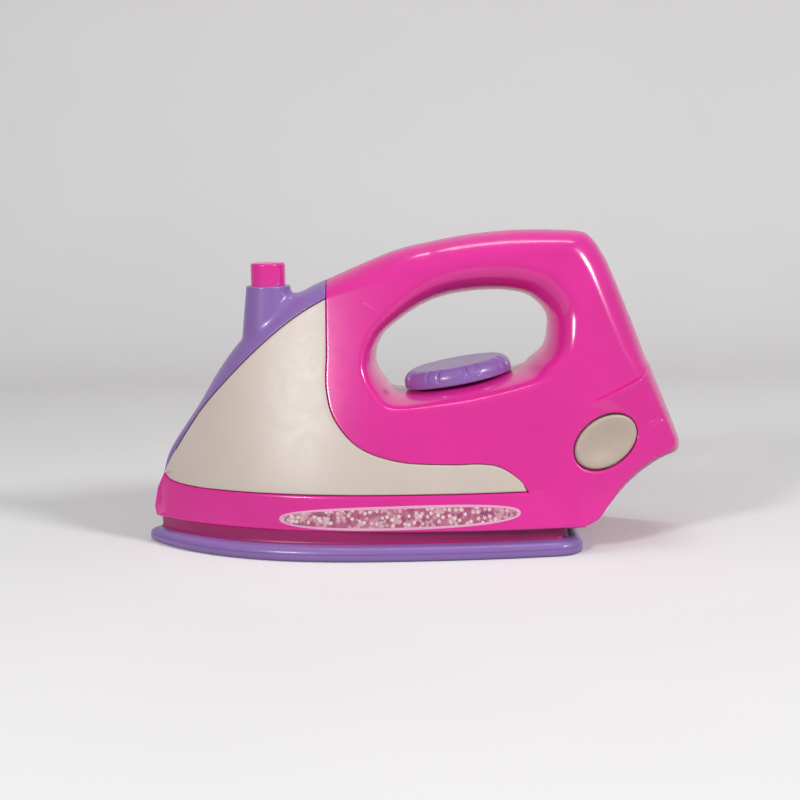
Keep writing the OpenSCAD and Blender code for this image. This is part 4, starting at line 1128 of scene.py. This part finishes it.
def blossom_print(name):
    """Soft blossoms and specks in pinks, creams and mauves, laid out in the side view."""
    mat, tree, bsdf = new_material(name)
    split = node_of(tree, "SeparateXYZ", Vector=place_of(tree)).outputs
    place = node_of(tree, "CombineXYZ", X=split["X"], Y=split["Z"]).outputs["Vector"]
    ground = noise_of(tree, place, Scale=150.0, Detail=3.0, Roughness=0.55)
    colour = ramp_of(tree, ground, (0.36, srgb(136, 80, 100)), (0.46, srgb(180, 82, 126)),
                     (0.56, srgb(192, 108, 142)), (0.66, srgb(202, 144, 154)))
    colour = blossoms(tree, place, colour, 235.0, 0.42, (0.25, srgb(222, 176, 182)),
                      (0.6, srgb(214, 150, 172)), (0.85, srgb(190, 96, 138)))
    colour = blossoms(tree, place, colour, 470.0, 0.34, (0.3, srgb(240, 222, 212)),
                      (0.6, srgb(236, 184, 200)), (0.9, srgb(170, 110, 126)))
    fill(bsdf, Roughness=0.35, **{"Base Color": colour})
    return mat


border_mat = plastic("sticker_border", srgb(238, 178, 206), 0.4, worn=0.04)
print_mat = blossom_print("sticker_print")


# Assembly

def piece(name, mesh, material, body, slot, *nodes):
    dress(object_from(name, *mesh, material), body, slot, *nodes)


piece("shell_left", shell, pink, "body", "pink", "left_shell")
piece("shell_right", right_shell, pink, "body", "pink", "right_shell")
piece("screw_wells", together(wells), pink, "body", "pink")
piece("panel_left", panel, white, "body", "off_white", "left_side_panel")
piece("panel_right", mirrored(*panel), white, "body", "off_white", "right_side_panel")
piece("cover", cover, lavender, "body", "lavender", "tank_cover")
piece("cover_turret", turret, lavender, "body", "lavender")
piece("spray_cap", spray, pink, "spray_button", "pink", "spray_button")
piece("dial_knob", together([moved(dial, dial_place), moved(shaft, dial_place)]), lavender,
      "temperature_dial", "lavender", "temperature_dial")
piece("oval_left", oval, pale, "left_side_button", "pale_grey", "left_side_button")
piece("oval_right", mirrored(*oval), pale, "right_side_button", "pale_grey", "right_side_button")
piece("sole", sole, lavender, "body", "lavender", "sole_plate")
piece("base_neck", neck, pink_painted_shade, "body", "pink", "base_frame")

stick_v, stick_f, stick_i = sticker()
for name, node, side in (("label_left", "left_sticker", 1), ("label_right", "right_sticker", -1)):
    mesh = (stick_v, stick_f) if side > 0 else mirrored(stick_v, stick_f)
    obj = object_from(name, *mesh, border_mat, print_mat)
    obj.data.polygons.foreach_set("material_index", stick_i)
    dress(obj, "body", "print", node)

screw = screw_mesh()


def screws(places, turn):
    """Screws at places, each turned the same way about x."""
    turned = Matrix.Rotation(turn, 4, "X")
    return together([moved(screw, Matrix.Translation(p) @ turned) for p in places])


piece("screws_sole", screws([(x, y, POCKET_SEAT) for x, y in POST_POINTS], pi),
      steel_mat, "body", "steel", "sole_screws")
piece("screws_shell", screws([(x, SCREW_SEAT, z) for x, z in SCREW_POINTS], -pi / 2),
      steel_mat, "body", "steel", "shell_screws")

# Inner pieces are shown as their solids
INNER = {"spray_retainer": lavender, "button_carrier": pale}
for name in ("spray_spring", "left_button_spring", "right_button_spring", "dial_washer", "dial_screw",
             *INNER):
    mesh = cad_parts[name].data
    mesh.materials.clear()
    mesh.materials.append(INNER.get(name, steel_mat))

# Springs get their own meshes; listed: the end that stays, the way they point, their length and travel
SPRAY_SPRING_Z, SPRAY_SPRING_L, SPRAY_TRAVEL = 82.0, 25.6, 4.0
OVAL_SPRING_DEEP, OVAL_SPRING_L, OVAL_TRAVEL = 19, 14.7, 2.5
spray_foot = np.array([TURRET_X, 0, SPRAY_SPRING_Z])
oval_foot = OVAL_P - OVAL_SPRING_DEEP * OVAL_W
for name, joint, foot, along, length, travel in (
        ("spray_spring", "spray_press", spray_foot, Z_AXIS, SPRAY_SPRING_L, SPRAY_TRAVEL),
        ("left_button_spring", "left_button_press", oval_foot, OVAL_W, OVAL_SPRING_L, OVAL_TRAVEL),
        ("right_button_spring", "right_button_press", oval_foot * FLIP_Y, OVAL_W * FLIP_Y, OVAL_SPRING_L,
         OVAL_TRAVEL)):
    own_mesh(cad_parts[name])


# Stage, lamps and camera

def paper(name, seen, bounced):
    """Backdrop paper: pale where seen or mirrored, greyer for the soft light that it throws back."""
    mat, tree, bsdf = new_material(name)
    fibre = noise_of(tree, place_of(tree), Scale=6.0, Detail=3.0)
    tone = ramp_of(tree, fibre, (0.3, tuple(c * 0.97 for c in seen[:3]) + (1,)), (0.7, seen))
    path = node_of(tree, "LightPath").outputs
    shown = math_of(tree, "MAXIMUM", path["Is Glossy Ray"], path["Is Transmission Ray"])
    shown = math_of(tree, "MAXIMUM", path["Is Camera Ray"], shown)
    pick = node_of(tree, "MixRGB", Fac=shown, Color1=bounced, Color2=tone)
    fill(bsdf, Roughness=0.8, **{"Base Color": pick.outputs["Color"], "Specular IOR Level": 0.1})
    return mat


# The paper lies flat, bends up behind the iron and stands
PAPER_FRONT, PAPER_BEND, PAPER_R, PAPER_TOP, PAPER_HALF = -1600, 500, 400, 2200, 2600
sweep = [(PAPER_FRONT, 0), (PAPER_BEND, 0)]
sweep += [(PAPER_BEND + PAPER_R * sin(t), PAPER_R - PAPER_R * cos(t))
          for t in np.radians(np.linspace(6, 90, 16))]
sweep.append((PAPER_BEND + PAPER_R, PAPER_TOP))
sweep_v = [(x, y, z) for x in (-PAPER_HALF, PAPER_HALF) for y, z in sweep]
backdrop = object_from("backdrop", sweep_v, grid_faces(2, len(sweep)),
                       paper("backdrop_paper", srgb(250, 249, 248), srgb(150, 140, 142)))


CENTRE = Vector((0, 0, 0.06))


def lamp(name, at, size, power, deep=None):
    """A soft lamp that looks at the iron: a disk, or a strip with its own depth."""
    data = bpy.data.lights.new(name, "AREA")
    data.shape = "RECTANGLE" if deep else "DISK"
    data.size = size
    if deep:
        data.size_y = deep
    data.energy = power
    obj = placed(name, data)
    obj.location = at
    obj.rotation_euler = (CENTRE - Vector(at)).to_track_quat("-Z", "Y").to_euler()


lamp("key", (1.0, -0.7, 0.85), 0.3, 10)
lamp("front", (-0.7, -0.95, 0.6), 0.26, 7)
lamp("top", (0.1, 0.2, 1.2), 0.7, 2, 0.1)

world = bpy.data.worlds.new("studio")
scene.world = world
world.use_nodes = True
fill(world.node_tree.nodes["Background"], Color=(0.93, 0.94, 1.0, 1), Strength=0.3)

# Focal length in pixels of a picture this wide
FOCAL, PICTURE, SENSOR = 1713, 800, 36
CAMERA_ROLL = rad(1.1)
eye = Vector((-4.5, -675, 149)) * MM
aim = Vector((-4.5, 0, 54.6)) * MM
forward = (aim - eye).normalized()
right = forward.cross(Vector((0, 0, 1))).normalized()
upward = right.cross(forward)
right_axis = right * cos(CAMERA_ROLL) - upward * sin(CAMERA_ROLL)
up_axis = right * sin(CAMERA_ROLL) + upward * cos(CAMERA_ROLL)
camera_data = bpy.data.cameras.new("camera")
camera_data.sensor_width = SENSOR
camera_data.lens = FOCAL * SENSOR / PICTURE
camera_data.clip_start = 0.01
camera = placed("camera", camera_data)
basis = Matrix((right_axis, up_axis, -forward)).transposed().to_4x4()
camera.matrix_world = Matrix.Translation(eye) @ basis
scene.camera = camera
scene.view_settings.view_transform = "Standard"
